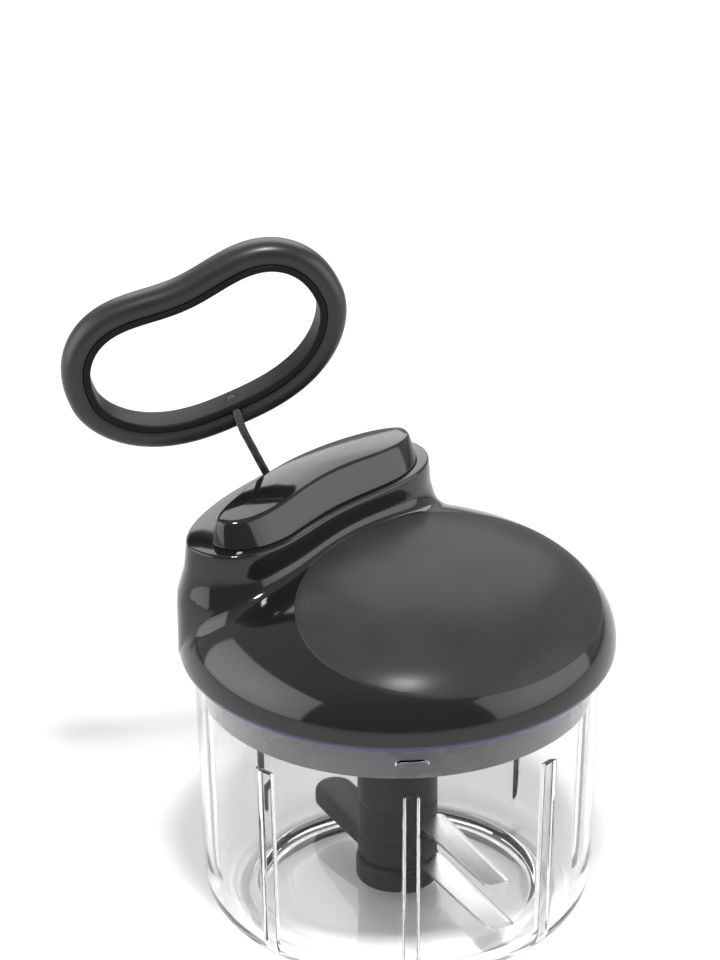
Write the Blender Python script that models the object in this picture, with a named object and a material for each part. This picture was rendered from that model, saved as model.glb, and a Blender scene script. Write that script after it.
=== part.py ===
"""A pull-cord food chopper: clear bowl, blade unit, black lid with a cord reel, and a ring handle.

Metres, +Z up. The origin is the centre of the bowl's flat underside. The lid's raised island
lies towards +Y, and its palm pad towards -Y. The handle is modelled pulled out, as in use.
"""
import math

import bmesh
import bpy
from mathutils import Matrix, Vector

# Clearances
GAP = 0.0003
SLOT_GAP = 0.0004
CUT_OVER = 0.002

# Bowl
BOWL_HEIGHT = 0.085
BOWL_TOP_RADIUS = 0.059
BOWL_DRAFT = 0.0021
BOWL_BASE_RADIUS = BOWL_TOP_RADIUS - BOWL_DRAFT
BOWL_CORNER = 0.010
BOWL_WALL = 0.0022
BOWL_FLOOR = 0.0032
FLOOR_RING_INSET = 0.0154
FLOOR_RING_RADIUS = BOWL_BASE_RADIUS - FLOOR_RING_INSET
FLOOR_RING_WIDTH = 0.0022
FLOOR_RING_HEIGHT = 0.0013
BOSS_RADIUS = 0.0062
BOSS_HEIGHT = 0.0020
RIB_COUNT = 8
RIB_WIDTH = 0.0040
RIB_DEPTH = 0.0024
RIB_DROP = 0.0195
RIB_TOP = BOWL_HEIGHT - RIB_DROP
RIB_TURN_DEG = -1.0
LUG_TURN_DEG = RIB_TURN_DEG + 360 / RIB_COUNT
LUG_COUNT = 4
LUG_LENGTH = 0.0093
LUG_HEIGHT = 0.0027
LUG_DEPTH = 0.0009
LUG_DROP = 0.0083
LUG_LEVEL = BOWL_HEIGHT - LUG_DROP

# Pivot pin in the bowl's floor
PIN_RADIUS = 0.0030
PIN_TOP = 0.0290
PIN_SINK = 0.0025

# Blade unit, standing on the pin and ending below the bowl's rim
HUB_RADIUS = 0.0118
HUB_DROP = 0.0060
HUB_TOP = BOWL_HEIGHT - HUB_DROP
HUB_SHOULDER = 0.0145
NECK_RADIUS = 0.0098
FOOT_EDGE = 0.0005
FOOT_RADIUS = HUB_RADIUS + FOOT_EDGE
FOOT_BOTTOM = 0.0060
FOOT_TOP = 0.0125
HUB_BORE_ROOM = 0.0015
HUB_BORE_TOP = PIN_TOP + HUB_BORE_ROOM
HUB_BUSH_WALL = 0.0011
SOCKET_DEPTH = 0.0100
SOCKET_ROOM = 0.0010
BLADE_TURN_DEG = -110.5
BLADE_THICKNESS = 0.0012
BLADE_CLEARANCE = 0.0026
BLADE_LENGTH = BOWL_BASE_RADIUS - BOWL_WALL - RIB_DEPTH - BLADE_CLEARANCE
BLADE_ROOT = 0.0055
BLADE_NEAR_EDGE = 0.0013
BLADE_ROOT_EDGE = 0.0112
BLADE_TIP_EDGE = 0.0096
LOWER_BLADE_LEVEL = 0.0135
UPPER_BLADE_LEVEL = 0.0270
LOWER_BLADE_EXTRA = 0.0012
ARM_SHORTFALL = 0.0047
ARM_LENGTH = BLADE_LENGTH - ARM_SHORTFALL
ARM_WIDTH = 0.0125
ARM_BOTTOM = 0.0092
ARM_TOP = 0.0158
ARM_EDGE = 0.0018
TENON_WIDTH = 0.0080
TENON_THICKNESS = 0.0012
TENON_ROOT = 0.0060

# Lid shell: a dome whose side is steep and whose top is flat. From here on every level is
# measured from the bowl's rim.
LID_OVERHANG = 0.0042
LID_RADIUS = BOWL_TOP_RADIUS + LID_OVERHANG
LID_RIM_DRAFT = 0.0006
LID_RIM_RADIUS = LID_RADIUS - LID_RIM_DRAFT
LID_RIM_LEVEL = -0.0020
LID_WIDEST_LEVEL = 0.0001
LID_TOP_LEVEL = 0.0270
LID_WALL = 0.0036
RIM_GAP = 0.0012
RIM_INNER_RADIUS = BOWL_TOP_RADIUS + RIM_GAP
DOME_HEIGHT_POWER = 2.09
DOME_RADIUS_POWER = 2.72

# Island: the ledge on the lid and the cap on the ledge, both kept at the lid's far side
LEDGE_LEVEL = 0.0350
LEDGE_END_MARGIN = 0.0162
LEDGE_HALF_LENGTH = LID_RADIUS - LEDGE_END_MARGIN
LEDGE_FAR_MARGIN = 0.0102
LEDGE_FAR = LID_RADIUS - LEDGE_FAR_MARGIN
LEDGE_DEPTH = 0.0362
LEDGE_NEAR = LEDGE_FAR - LEDGE_DEPTH
LEDGE_WALL = 0.0026
LEDGE_HOLLOW_ROOT = 0.0070
LEDGE_FAR_POWER_SHARE = 1.0
LEDGE_FLARE = 0.0030
LEDGE_FLANK_SHARES = ((0.0, 0.0), (0.16, 0.20), (0.52, 0.40), (1.0, 0.62), (1.0, 1.0))
CAP_END_STEP = 0.0042
CAP_HALF_LENGTH = LEDGE_HALF_LENGTH - CAP_END_STEP
CAP_NEAR_STEP = 0.0020
CAP_NEAR = LEDGE_NEAR + CAP_NEAR_STEP
CAP_FAR_STEP = 0.0074
CAP_FAR = LEDGE_FAR - CAP_FAR_STEP
CAP_EDGE_LEVEL = 0.0428
CAP_END_DRAFT = 0.0068
CAP_TOP_HALF_LENGTH = CAP_HALF_LENGTH - CAP_END_DRAFT
CAP_NEAR_DRAFT = 0.0092
CAP_TOP_NEAR = CAP_NEAR + CAP_NEAR_DRAFT
CAP_FAR_DRAFT = 0.0054
CAP_TOP_FAR = CAP_FAR - CAP_FAR_DRAFT
CAP_CROWN = 0.0024
CAP_WALL = 0.0020
CAP_FLANK_SHARES = ((0.0, 0.0), (0.10, 0.22), (0.34, 0.50), (0.66, 0.76), (0.90, 0.93), (1.0, 1.0))
CAP_CROWN_SHARES = ((0.86, 0.42), (0.62, 0.76), (0.32, 0.96))
WAIST_DIP = 0.0061
WAIST_POWER_SHARE = 0.8

# Palm pad let into the dome, up to the island's waist
PAD_CENTRE_Y = -0.0170
PAD_SIDE_MARGIN = 0.0132
PAD_HALF_WIDTH = LID_RADIUS - PAD_SIDE_MARGIN
PAD_FRONT_MARGIN = 0.0032
PAD_FRONT_REACH = LID_RADIUS - PAD_FRONT_MARGIN + PAD_CENTRE_Y
PAD_WAIST_REACH = 0.0017
PAD_BACK_REACH = LEDGE_NEAR - PAD_CENTRE_Y + PAD_WAIST_REACH
PAD_THICKNESS = 0.0016
PAD_RECESS = 0.0002
PAD_RING_SHARES = (0.30, 0.58, 0.78, 0.91, 1.0)

# Base plate with its skirt, closing the lid from below
PLATE_BOTTOM = 0.0020
PLATE_THICKNESS = 0.0020
PLATE_TOP = PLATE_BOTTOM + PLATE_THICKNESS
PLATE_EDGE_GAP = 0.0014
PLATE_RADIUS = RIM_INNER_RADIUS - PLATE_EDGE_GAP
SKIRT_BOTTOM = -0.0140
SKIRT_WALL = 0.0020
SKIRT_GAP = 0.0004
SEAL_HEIGHT = 0.0014
SEAL_WIDTH = 0.0017

# Drive: the coupling hangs in the hub's socket, under the plate's bush
AXLE_RADIUS = 0.0030
AXLE_SINK = 0.0065
BUSH_RADIUS = 0.0058
BUSH_BOTTOM = PLATE_BOTTOM - SLOT_GAP
BUSH_FLANGE = 0.0012
BUSH_FLANGE_RADIUS = 0.0078
COUPLING_RADIUS = 0.0075
COUPLING_BOTTOM = SOCKET_ROOM - HUB_DROP - SOCKET_DEPTH
COUPLING_TOP = BUSH_BOTTOM - GAP * 2
COUPLING_SIDES = 6
AXLE_BOTTOM = COUPLING_BOTTOM + AXLE_SINK

# Reel, from the plate up: the spring's case, the drum and the bush in the dome
CASE_RADIUS = 0.0262
CASE_WALL = 0.0012
CASE_BOTTOM = PLATE_TOP + GAP
CASE_HEIGHT = 0.0061
CASE_FLOOR = 0.0010
SPRING_TURNS = 4
SPRING_INNER_ROOM = 0.0014
SPRING_INNER = BUSH_FLANGE_RADIUS + SPRING_INNER_ROOM
SPRING_OUTER_ROOM = 0.0010
SPRING_OUTER = CASE_RADIUS - CASE_WALL - SPRING_OUTER_ROOM
SPRING_STRIP = 0.0006
SPRING_HEIGHT = 0.0040
DRUM_BOTTOM = CASE_BOTTOM + CASE_HEIGHT + SLOT_GAP
DRUM_HEIGHT = 0.0088
DRUM_TOP = DRUM_BOTTOM + DRUM_HEIGHT
DRUM_FLANGE = 0.0012
DRUM_FLANGE_RADIUS = CASE_RADIUS
DRUM_CORE_RADIUS = 0.0170
WINDING_RADIUS = 0.0225
TOP_BUSH_RADIUS = 0.0050
TOP_BUSH_BOTTOM = DRUM_TOP + SLOT_GAP
TOP_BUSH_HEIGHT = 0.0036
TOP_BUSH_TOP = TOP_BUSH_BOTTOM + TOP_BUSH_HEIGHT
TOP_BOSS_RADIUS = 0.0080
TOP_BOSS_BOTTOM = TOP_BUSH_BOTTOM + SLOT_GAP
AXLE_TOP = TOP_BUSH_TOP - GAP * 2

# Screws that hold the plate to the lid
SCREW_COUNT = 4
SCREW_INSET = 0.0135
SCREW_CIRCLE = BOWL_TOP_RADIUS - SCREW_INSET
SCREW_FIRST_DEG = 45.0
SCREW_RADIUS = 0.0013
SCREW_HEAD_RADIUS = 0.0027
SCREW_HEAD_HEIGHT = 0.0017
SCREW_HEAD_FLAT_SHARE = 0.7
SCREW_REACH = 0.0095
SCREW_TOP = PLATE_BOTTOM + SCREW_REACH
SCREW_BOSS_RADIUS = 0.0036

# Cord, its eyelet and its guide roller
CORD_RADIUS = 0.00118
EYELET_X = -0.0010
EYELET_STAND_OFF = 0.0030
EYELET_Y = CAP_FAR + EYELET_STAND_OFF
EYELET_RADIUS = 0.0022
EYELET_BORE = 0.0016
EYELET_FLANGE_RADIUS = 0.0029
EYELET_FLANGE = 0.0007
EYELET_LENGTH = 0.0040
EYELET_TOP = LEDGE_LEVEL + GAP + EYELET_FLANGE
EYELET_MOUTH = Vector((EYELET_X, EYELET_Y, EYELET_TOP))
ROLLER_RADIUS = 0.0040
ROLLER_HALF_WIDTH = 0.0022
ROLLER_FLANGE = 0.0008
ROLLER_BORE = 0.0013
ROLLER_PIN_RADIUS = 0.0010
ROLLER_PIN_HALF = 0.0048
BRACKET_THICKNESS = 0.0016
BRACKET_HALF_WIDTH = 0.0030
INNER_RUN_SHARES = (0.33, 0.66)

# The free cord's route from the knot in the handle to the eyelet, measured from the eyelet's mouth
CORD_ROUTE = (
    (-0.0085, 0.0045, 0.0246),
    (-0.0105, 0.0018, 0.0239),
    (-0.0117, 0.0000, 0.0229),
    (-0.0121, -0.0014, 0.0212),
    (-0.0117, -0.0022, 0.0191),
    (-0.0105, -0.0023, 0.0169),
    (-0.0076, -0.0017, 0.0124),
    (-0.0047, -0.0010, 0.0080),
    (-0.0022, -0.0004, 0.0043),
    (-0.0006, -0.0001, 0.0016),
    (0.0000, 0.0000, -0.0006),
)

# Handle ring, in its own frame: the knot's centre at the origin, the stowed ring flat on XY
RING_HALF_LENGTH = 0.0344
RING_DEPTH = 0.0355
RING_WIDTH = 0.0082
RING_HEIGHT = 0.0106
RING_DIP = 0.0056
RING_POWER_SHARE = 0.76
RING_HOLE_SIDE_POWER_SHARE = 1.2
BAND_WIDTH = 0.0020
BAND_GROOVE = 0.0003
GRIP_LIFT = 0.0003
GRIP_FLAT_SHARE = 0.24
GRIP_ROUND_SHARES = (0.80, 0.85)
HOLE_SHIFT = 0.0015
HOLE_RADIUS = 0.0015
KNOT_RADIUS = 0.0020
KNOT_HEIGHT = 0.0050
KNOT_INSET = 0.0013
POCKET_RADIUS = 0.0023
HANDLE_OFFSET = Vector((-0.0072, 0.0063, 0.0252))
HANDLE_AXIS_SHARES = Vector((-0.871, 0.149, -0.469))
HANDLE_TURN_DEG = 107.2

# Mesh fineness
BOWL_STEPS = 56
ROUND_STEPS = 48
SMALL_STEPS = 20
OUTLINE_STEPS = 48
CORNER_STEPS = 5
RING_STEPS = 60
GRIP_STEPS = 8
BALL_STEPS = 8
SPRING_STEPS = 16
ARM_END_STEPS = 12
LUG_STEPS = 12
HUB_STEPS = 36
REEL_STEPS = 40
PIN_STEPS = 24
SCREW_STEPS = 12
KNOT_STEPS = 16
DOME_RINGS = 11
DOME_INNER_RINGS = 8
ROLLER_BEND_STEPS = 4
SPAN_STEPS = 16
PULL_CORD_POINTS = 16
INNER_CORD_POINTS = 26


def clear_scene():
    for item in list(bpy.data.objects):
        bpy.data.objects.remove(item, do_unlink=True)


def make_material(name, colour, roughness, metallic=0.0, alpha=1.0):
    material = bpy.data.materials.new(name)
    material.use_nodes = True
    shader = material.node_tree.nodes["Principled BSDF"]
    shader.inputs["Base Color"].default_value = (*colour, 1.0)
    shader.inputs["Roughness"].default_value = roughness
    shader.inputs["Metallic"].default_value = metallic
    shader.inputs["Alpha"].default_value = alpha
    return material


def add_object(name, mesh, material=None, parent=None):
    item = bpy.data.objects.new(name, mesh)
    bpy.context.scene.collection.objects.link(item)
    if material is not None:
        mesh.materials.append(material)
    if parent is not None:
        item.parent = parent
    return item


def mesh_from(name, points, faces, smooth_deg=35.0):
    """A mesh whose normals all point outwards."""
    mesh = bpy.data.meshes.new(name)
    mesh.from_pydata([tuple(p) for p in points], [], faces)
    shaper = bmesh.new()
    shaper.from_mesh(mesh)
    bmesh.ops.recalc_face_normals(shaper, faces=shaper.faces[:])
    shaper.to_mesh(mesh)
    shaper.free()
    mesh.shade_smooth()
    mesh.set_sharp_from_angle(angle=math.radians(smooth_deg))
    return mesh


def lathe(name, profile, steps=ROUND_STEPS):
    """Turns a closed outline of (radius, level) points about Z."""
    points = []
    rings = []
    for radius, level in profile:
        if radius <= 0:
            rings.append([len(points)] * steps)
            points.append((0, 0, level))
            continue
        rings.append(list(range(len(points), len(points) + steps)))
        for step in range(steps):
            angle = math.tau * step / steps
            points.append((radius * math.cos(angle), radius * math.sin(angle), level))
    faces = []
    for index, ring in enumerate(rings):
        following = rings[(index + 1) % len(rings)]
        for step in range(steps):
            after = (step + 1) % steps
            corners = [ring[step], ring[after], following[after], following[step]]
            unique = list(dict.fromkeys(corners))
            if len(unique) > 2:
                faces.append(unique)
    return mesh_from(name, points, faces)


def loft(name, rings):
    """Joins rings of equally many points, and closes both ends."""
    count = len(rings[0])
    points = [p for ring in rings for p in ring]
    faces = [list(range(count))[::-1], [len(points) - count + i for i in range(count)]]
    for level in range(len(rings) - 1):
        for step in range(count):
            after = (step + 1) % count
            low = level * count
            high = low + count
            faces.append([low + step, low + after, high + after, high + step])
    return mesh_from(name, points, faces)


def prism(name, outline, bottom, top):
    return loft(name, [[(x, y, bottom) for x, y in outline], [(x, y, top) for x, y in outline]])


def circle(radius, steps, centre=(0, 0)):
    angles = [math.tau * step / steps for step in range(steps)]
    return [(centre[0] + radius * math.cos(a), centre[1] + radius * math.sin(a)) for a in angles]


def rod(name, radius, bottom, top, centre=(0, 0), steps=SMALL_STEPS):
    return prism(name, circle(radius, steps, centre), bottom, top)


def box(name, low, high):
    outline = [(low[0], low[1]), (high[0], low[1]), (high[0], high[1]), (low[0], high[1])]
    return prism(name, outline, low[2], high[2])


def sweep(name, path, section, closed):
    """Carries a section along a path of frames (place, side, up)."""
    count = len(section)
    points = []
    for place, side, up in path:
        points += [place + side * a + up * b for a, b in section]
    faces = []
    runs = len(path) if closed else len(path) - 1
    for step in range(runs):
        here = step * count
        there = ((step + 1) % len(path)) * count
        for corner in range(count):
            after = (corner + 1) % count
            faces.append([here + corner, here + after, there + after, there + corner])
    if not closed:
        faces.append(list(range(count))[::-1])
        faces.append([(len(path) - 1) * count + i for i in range(count)])
    return mesh_from(name, points, faces)


def cut(target, operation, mesh, matrix=None):
    """A Boolean that keeps its cutter as a hidden wire object."""
    cutter = add_object(mesh.name, mesh)
    cutter.hide_render = True
    cutter.display_type = "WIRE"
    cutter.parent = target.parent
    if matrix is not None:
        cutter.matrix_local = matrix
    modifier = target.modifiers.new(mesh.name, "BOOLEAN")
    modifier.operation = operation
    modifier.solver = "EXACT"
    modifier.object = cutter
    return cutter


def merged(name, meshes):
    """Several meshes as one, for a cutter of separate solids."""
    shaper = bmesh.new()
    for mesh in meshes:
        shaper.from_mesh(mesh)
        bpy.data.meshes.remove(mesh)
    result = bpy.data.meshes.new(name)
    shaper.to_mesh(result)
    shaper.free()
    return result


def turned(mesh, angle):
    mesh.transform(Matrix.Rotation(angle, 4, "Z"))
    return mesh


def kidney(half_length, near, far, dip, far_power=WAIST_POWER_SHARE):
    """The island's outline: round ends, a full far side and a waisted near side."""
    middle = (near + far) / 2
    half_depth = (far - near) / 2
    outline = []
    for step in range(OUTLINE_STEPS):
        angle = math.tau * step / OUTLINE_STEPS
        along = math.cos(angle)
        across = math.sin(angle)
        power = far_power if across > 0 else WAIST_POWER_SHARE
        x = half_length * math.copysign(abs(along) ** power, along)
        y = middle + half_depth * math.copysign(abs(across) ** power, across)
        if across < 0:
            y += dip / 2 * math.cos(math.pi * x / half_length) * abs(across)
        outline.append((x, y))
    return outline


def grown(outline, distance):
    """The outline moved outwards by a distance."""
    count = len(outline)
    result = []
    for index, (x, y) in enumerate(outline):
        before = outline[index - 1]
        after = outline[(index + 1) % count]
        along = Vector((after[0] - before[0], after[1] - before[1])).normalized()
        result.append((x + along.y * distance, y - along.x * distance))
    return result


def dome_level(radius, inset=0.0):
    """Height of the dome's outer face, or of the face set in by a wall, at a radius."""
    share = min(1.0, radius / (LID_RADIUS - inset))
    height = LID_TOP_LEVEL - inset - LID_WIDEST_LEVEL
    rise = (1 - share ** DOME_RADIUS_POWER) ** (1 / DOME_HEIGHT_POWER)
    return LID_WIDEST_LEVEL + height * rise


def dome_profile(inset, steps):
    """Points of the dome from its widest ring to its top, evenly spread along it."""
    profile = []
    for step in range(steps + 1):
        angle = math.pi / 2 * step / steps
        share = math.cos(angle) ** (2 / DOME_RADIUS_POWER)
        rise = math.sin(angle) ** (2 / DOME_HEIGHT_POWER)
        radius = (LID_RADIUS - inset) * share
        level = LID_WIDEST_LEVEL + (LID_TOP_LEVEL - inset - LID_WIDEST_LEVEL) * rise
        profile.append((0 if step == steps else radius, level))
    return profile


def bowl_outer_radius(level):
    """The wall leans outwards from the base to the rim."""
    return BOWL_BASE_RADIUS + BOWL_DRAFT * level / BOWL_HEIGHT


def bowl_profile():
    """The bowl's section: outer side from the base centre up, inner side back down."""
    outer = [(0, 0)]
    base_flat = BOWL_BASE_RADIUS - BOWL_CORNER
    for step in range(CORNER_STEPS + 1):
        angle = math.pi / 2 * step / CORNER_STEPS
        outer.append((base_flat + BOWL_CORNER * math.sin(angle), BOWL_CORNER * (1 - math.cos(angle))))
    outer.append((BOWL_TOP_RADIUS, BOWL_HEIGHT))
    inner_corner = BOWL_CORNER - BOWL_WALL
    inner = [(BOWL_TOP_RADIUS - BOWL_WALL, BOWL_HEIGHT)]
    for step in range(CORNER_STEPS + 1):
        angle = math.pi / 2 * (1 - step / CORNER_STEPS)
        radius = base_flat + inner_corner * math.sin(angle)
        inner.append((radius, BOWL_FLOOR + inner_corner * (1 - math.cos(angle))))
    ring_top = BOWL_FLOOR + FLOOR_RING_HEIGHT
    inner.append((FLOOR_RING_RADIUS + FLOOR_RING_WIDTH / 2, BOWL_FLOOR))
    inner.append((FLOOR_RING_RADIUS + FLOOR_RING_WIDTH / 4, ring_top))
    inner.append((FLOOR_RING_RADIUS - FLOOR_RING_WIDTH / 4, ring_top))
    inner.append((FLOOR_RING_RADIUS - FLOOR_RING_WIDTH / 2, BOWL_FLOOR))
    inner.append((BOSS_RADIUS, BOWL_FLOOR))
    inner.append((BOSS_RADIUS, BOWL_FLOOR + BOSS_HEIGHT))
    socket = PIN_RADIUS + GAP
    inner.append((socket, BOWL_FLOOR + BOSS_HEIGHT))
    inner.append((socket, BOWL_FLOOR + BOSS_HEIGHT - PIN_SINK - GAP))
    inner.append((0, BOWL_FLOOR + BOSS_HEIGHT - PIN_SINK - GAP))
    return outer + inner


def bowl_rib(index):
    """A rib on the wall's inner face, rooted half way into the wall and the floor."""
    inner = bowl_outer_radius(BOWL_CORNER) - BOWL_WALL - RIB_DEPTH
    middle = BOWL_CORNER - BOWL_WALL / 2
    side = [(inner, RIB_TOP), (inner, BOWL_FLOOR / 2)]
    for step in range(CORNER_STEPS + 1):
        angle = math.pi / 2 * step / CORNER_STEPS
        radius = BOWL_BASE_RADIUS - BOWL_CORNER + middle * math.sin(angle)
        if radius > inner:
            side.append((radius, BOWL_CORNER - middle * math.cos(angle)))
    side.append((bowl_outer_radius(RIB_TOP) - BOWL_WALL / 2, RIB_TOP))
    half = RIB_WIDTH / 2
    mesh = loft("rib", [[(radius, edge, level) for radius, level in side] for edge in (-half, half)])
    return turned(mesh, math.radians(RIB_TURN_DEG) + math.tau * index / RIB_COUNT)


def bowl_lug(index):
    """A pill-shaped lug on the wall's outer face, under the lid's rim."""
    half = LUG_LENGTH / 2 - LUG_HEIGHT / 2
    wall = bowl_outer_radius(LUG_LEVEL)
    outline = []
    for step in range(LUG_STEPS):
        angle = math.tau * step / LUG_STEPS
        shift = half if math.cos(angle) > 0 else -half
        across = shift + LUG_HEIGHT / 2 * math.cos(angle)
        outline.append((across, LUG_LEVEL + LUG_HEIGHT / 2 * math.sin(angle)))
    rings = []
    for radius in (wall - BOWL_WALL / 2, wall + LUG_DEPTH):
        rings.append([(radius, across, level) for across, level in outline])
    angle = math.radians(LUG_TURN_DEG) + math.tau * index / LUG_COUNT
    return turned(loft("lug", rings), angle)


def build_bowl(material):
    bowl = add_object("bowl", lathe("bowl", bowl_profile(), BOWL_STEPS), material)
    ribs = merged("bowl_ribs_form", [bowl_rib(index) for index in range(RIB_COUNT)])
    cut(bowl, "UNION", ribs)
    lugs = merged("bowl_lugs_form", [bowl_lug(index) for index in range(LUG_COUNT)])
    cut(bowl, "UNION", lugs)


def build_pivot_pin(material):
    bottom = BOWL_FLOOR + BOSS_HEIGHT - PIN_SINK
    tip = PIN_RADIUS / 3
    profile = [(0, bottom), (PIN_RADIUS, bottom), (PIN_RADIUS, PIN_TOP - tip)]
    profile += [(PIN_RADIUS - tip, PIN_TOP), (0, PIN_TOP)]
    add_object("pivot_pin", lathe("pivot_pin", profile, PIN_STEPS), material)


def blade_outline(length):
    """The blade seen from above, along +X from the hub."""
    return [
        (BLADE_ROOT, BLADE_NEAR_EDGE),
        (length - BLADE_NEAR_EDGE, BLADE_NEAR_EDGE),
        (length, BLADE_TIP_EDGE),
        (HUB_RADIUS, BLADE_ROOT_EDGE),
        (BLADE_ROOT, BLADE_ROOT_EDGE),
    ]


def slot_outline():
    """The part of the blade's outline that lies in the hub, with its clearance."""
    low = BLADE_ROOT - SLOT_GAP
    far = FOOT_RADIUS + CUT_OVER
    edges = (BLADE_NEAR_EDGE - SLOT_GAP, BLADE_ROOT_EDGE + SLOT_GAP)
    return [(low, edges[0]), (far, edges[0]), (far, edges[1]), (low, edges[1])]


def blade_mesh(name, level, length):
    """A flat blade, ground thin along its leading edge."""
    half = BLADE_THICKNESS / 2
    outline = blade_outline(length)
    ground = BLADE_THICKNESS
    top = list(outline)
    top[2] = (outline[2][0] - ground / 2, outline[2][1] - ground)
    top[3] = (outline[3][0], outline[3][1] - ground)
    top[4] = (outline[4][0], outline[4][1] - ground)
    rings = [[(x, y, level - half) for x, y in outline]]
    rings.append([(x, y, level - half / 2) for x, y in outline])
    rings.append([(x, y, level + half) for x, y in top])
    return turned(loft(name, rings), math.radians(BLADE_TURN_DEG))


def arm_outline():
    """The paddle arm seen from above: straight sides and a round end, along -X."""
    half = ARM_WIDTH / 2
    start = FOOT_RADIUS + GAP
    centre = ARM_LENGTH - ARM_WIDTH / 2
    outline = [(-start, half)]
    for step in range(ARM_END_STEPS + 1):
        angle = math.pi / 2 + math.pi * step / ARM_END_STEPS
        outline.append((-centre + half * math.cos(angle), half * math.sin(angle)))
    outline.append((-start, -half))
    return outline


def build_arm(material, unit):
    body = prism("paddle_arm", arm_outline(), ARM_BOTTOM, ARM_TOP)
    arm = add_object("paddle_arm", turned(body, math.radians(BLADE_TURN_DEG)), material, unit)
    bevel = arm.modifiers.new("round_edges", "BEVEL")
    bevel.width = ARM_EDGE
    bevel.segments = 2
    bevel.limit_method = "ANGLE"
    low = LOWER_BLADE_LEVEL - TENON_THICKNESS / 2
    reach = FOOT_RADIUS + ARM_EDGE * 2
    high = low + TENON_THICKNESS
    half = TENON_WIDTH / 2
    tenon = box("arm_tenon_form", (-reach, -half, low), (-TENON_ROOT, half, high))
    cut(arm, "UNION", turned(tenon, math.radians(BLADE_TURN_DEG)))


def hub_bush_radius():
    return PIN_RADIUS + GAP + HUB_BUSH_WALL


def build_hub_bush(material, carrier):
    """The bush on the pivot pin, in the hub's bore."""
    bore = PIN_RADIUS + GAP
    outer = hub_bush_radius()
    top = HUB_BORE_TOP - GAP
    profile = [(bore, FOOT_BOTTOM), (outer, FOOT_BOTTOM), (outer, top), (0, top)]
    profile += [(0, PIN_TOP + GAP), (bore, PIN_TOP + GAP)]
    add_object("hub_bush", lathe("hub_bush", profile, PIN_STEPS), material, carrier)


def hub_profile():
    """The hub: a neck for the foot, the barrel and a blind bore for the bush."""
    bore = hub_bush_radius() + GAP
    edge = GAP * 2
    profile = [(bore, FOOT_BOTTOM), (NECK_RADIUS, FOOT_BOTTOM), (NECK_RADIUS, HUB_SHOULDER)]
    profile += [(HUB_RADIUS, HUB_SHOULDER), (HUB_RADIUS, HUB_TOP - edge), (HUB_RADIUS - edge, HUB_TOP)]
    profile += [(0, HUB_TOP), (0, HUB_BORE_TOP), (bore, HUB_BORE_TOP)]
    return profile


def build_hub(material, unit):
    hub = add_object("blade_hub", lathe("blade_hub", hub_profile(), HUB_STEPS), material, unit)
    socket = circle(COUPLING_RADIUS + SLOT_GAP, COUPLING_SIDES)
    floor = HUB_TOP - SOCKET_DEPTH
    cut(hub, "DIFFERENCE", prism("hub_socket_form", socket, floor, HUB_TOP + CUT_OVER))
    turn = math.radians(BLADE_TURN_DEG)
    half = BLADE_THICKNESS / 2 + SLOT_GAP
    slots = []
    for level in (LOWER_BLADE_LEVEL, UPPER_BLADE_LEVEL):
        slots.append(turned(prism("slot", slot_outline(), level - half, level + half), turn))
    wide = TENON_WIDTH / 2 + SLOT_GAP
    thick = TENON_THICKNESS / 2 + SLOT_GAP
    low = (-FOOT_RADIUS - CUT_OVER, -wide, LOWER_BLADE_LEVEL - thick)
    high = (-TENON_ROOT + SLOT_GAP, wide, LOWER_BLADE_LEVEL + thick)
    slots.append(turned(box("slot", low, high), turn))
    cut(hub, "DIFFERENCE", merged("hub_slots_form", slots))


def build_blade_unit(plastic, steel, unit):
    build_hub(plastic, unit)
    inner = NECK_RADIUS + GAP
    edge = GAP * 2
    foot = [(inner, FOOT_BOTTOM), (FOOT_RADIUS - edge, FOOT_BOTTOM), (FOOT_RADIUS, FOOT_BOTTOM + edge)]
    foot += [(FOOT_RADIUS, FOOT_TOP - edge), (FOOT_RADIUS - edge, FOOT_TOP), (inner, FOOT_TOP)]
    add_object("hub_foot", lathe("hub_foot", foot, HUB_STEPS), plastic, unit)
    lower = blade_mesh("lower_blade", LOWER_BLADE_LEVEL, BLADE_LENGTH + LOWER_BLADE_EXTRA)
    add_object("lower_blade", lower, steel, unit)
    upper = blade_mesh("upper_blade", UPPER_BLADE_LEVEL, BLADE_LENGTH)
    add_object("upper_blade", upper, steel, unit)
    build_arm(plastic, unit)


def oval(grow, share):
    """The palm pad's outline: fuller in front than behind."""
    outline = []
    for step in range(OUTLINE_STEPS):
        angle = math.tau * step / OUTLINE_STEPS
        reach = PAD_BACK_REACH if math.sin(angle) > 0 else PAD_FRONT_REACH
        x = (PAD_HALF_WIDTH + grow) * math.cos(angle) * share
        y = PAD_CENTRE_Y + (reach + grow) * math.sin(angle) * share
        outline.append((x, y))
    return outline


def patch(name, grow, lower, upper):
    """A sheet over the oval between two heights above the dome."""
    shares = PAD_RING_SHARES
    points = []
    rings = {}
    for side, lift in (("low", lower), ("high", upper)):
        for share in shares:
            rings[side, share] = len(points)
            for x, y in oval(grow, share):
                points.append((x, y, dome_level(math.hypot(x, y)) + lift))
        rings[side, "centre"] = len(points)
        points.append((0, PAD_CENTRE_Y, dome_level(abs(PAD_CENTRE_Y)) + lift))
    faces = []
    for step in range(OUTLINE_STEPS):
        after = (step + 1) % OUTLINE_STEPS
        for side in ("low", "high"):
            first = rings[side, shares[0]]
            faces.append([rings[side, "centre"], first + step, first + after])
            for inner, outer in zip(shares, shares[1:]):
                a = rings[side, inner]
                b = rings[side, outer]
                faces.append([a + step, b + step, b + after, a + after])
        low = rings["low", shares[-1]]
        high = rings["high", shares[-1]]
        faces.append([low + step, low + after, high + after, high + step])
    return mesh_from(name, points, faces)


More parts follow.
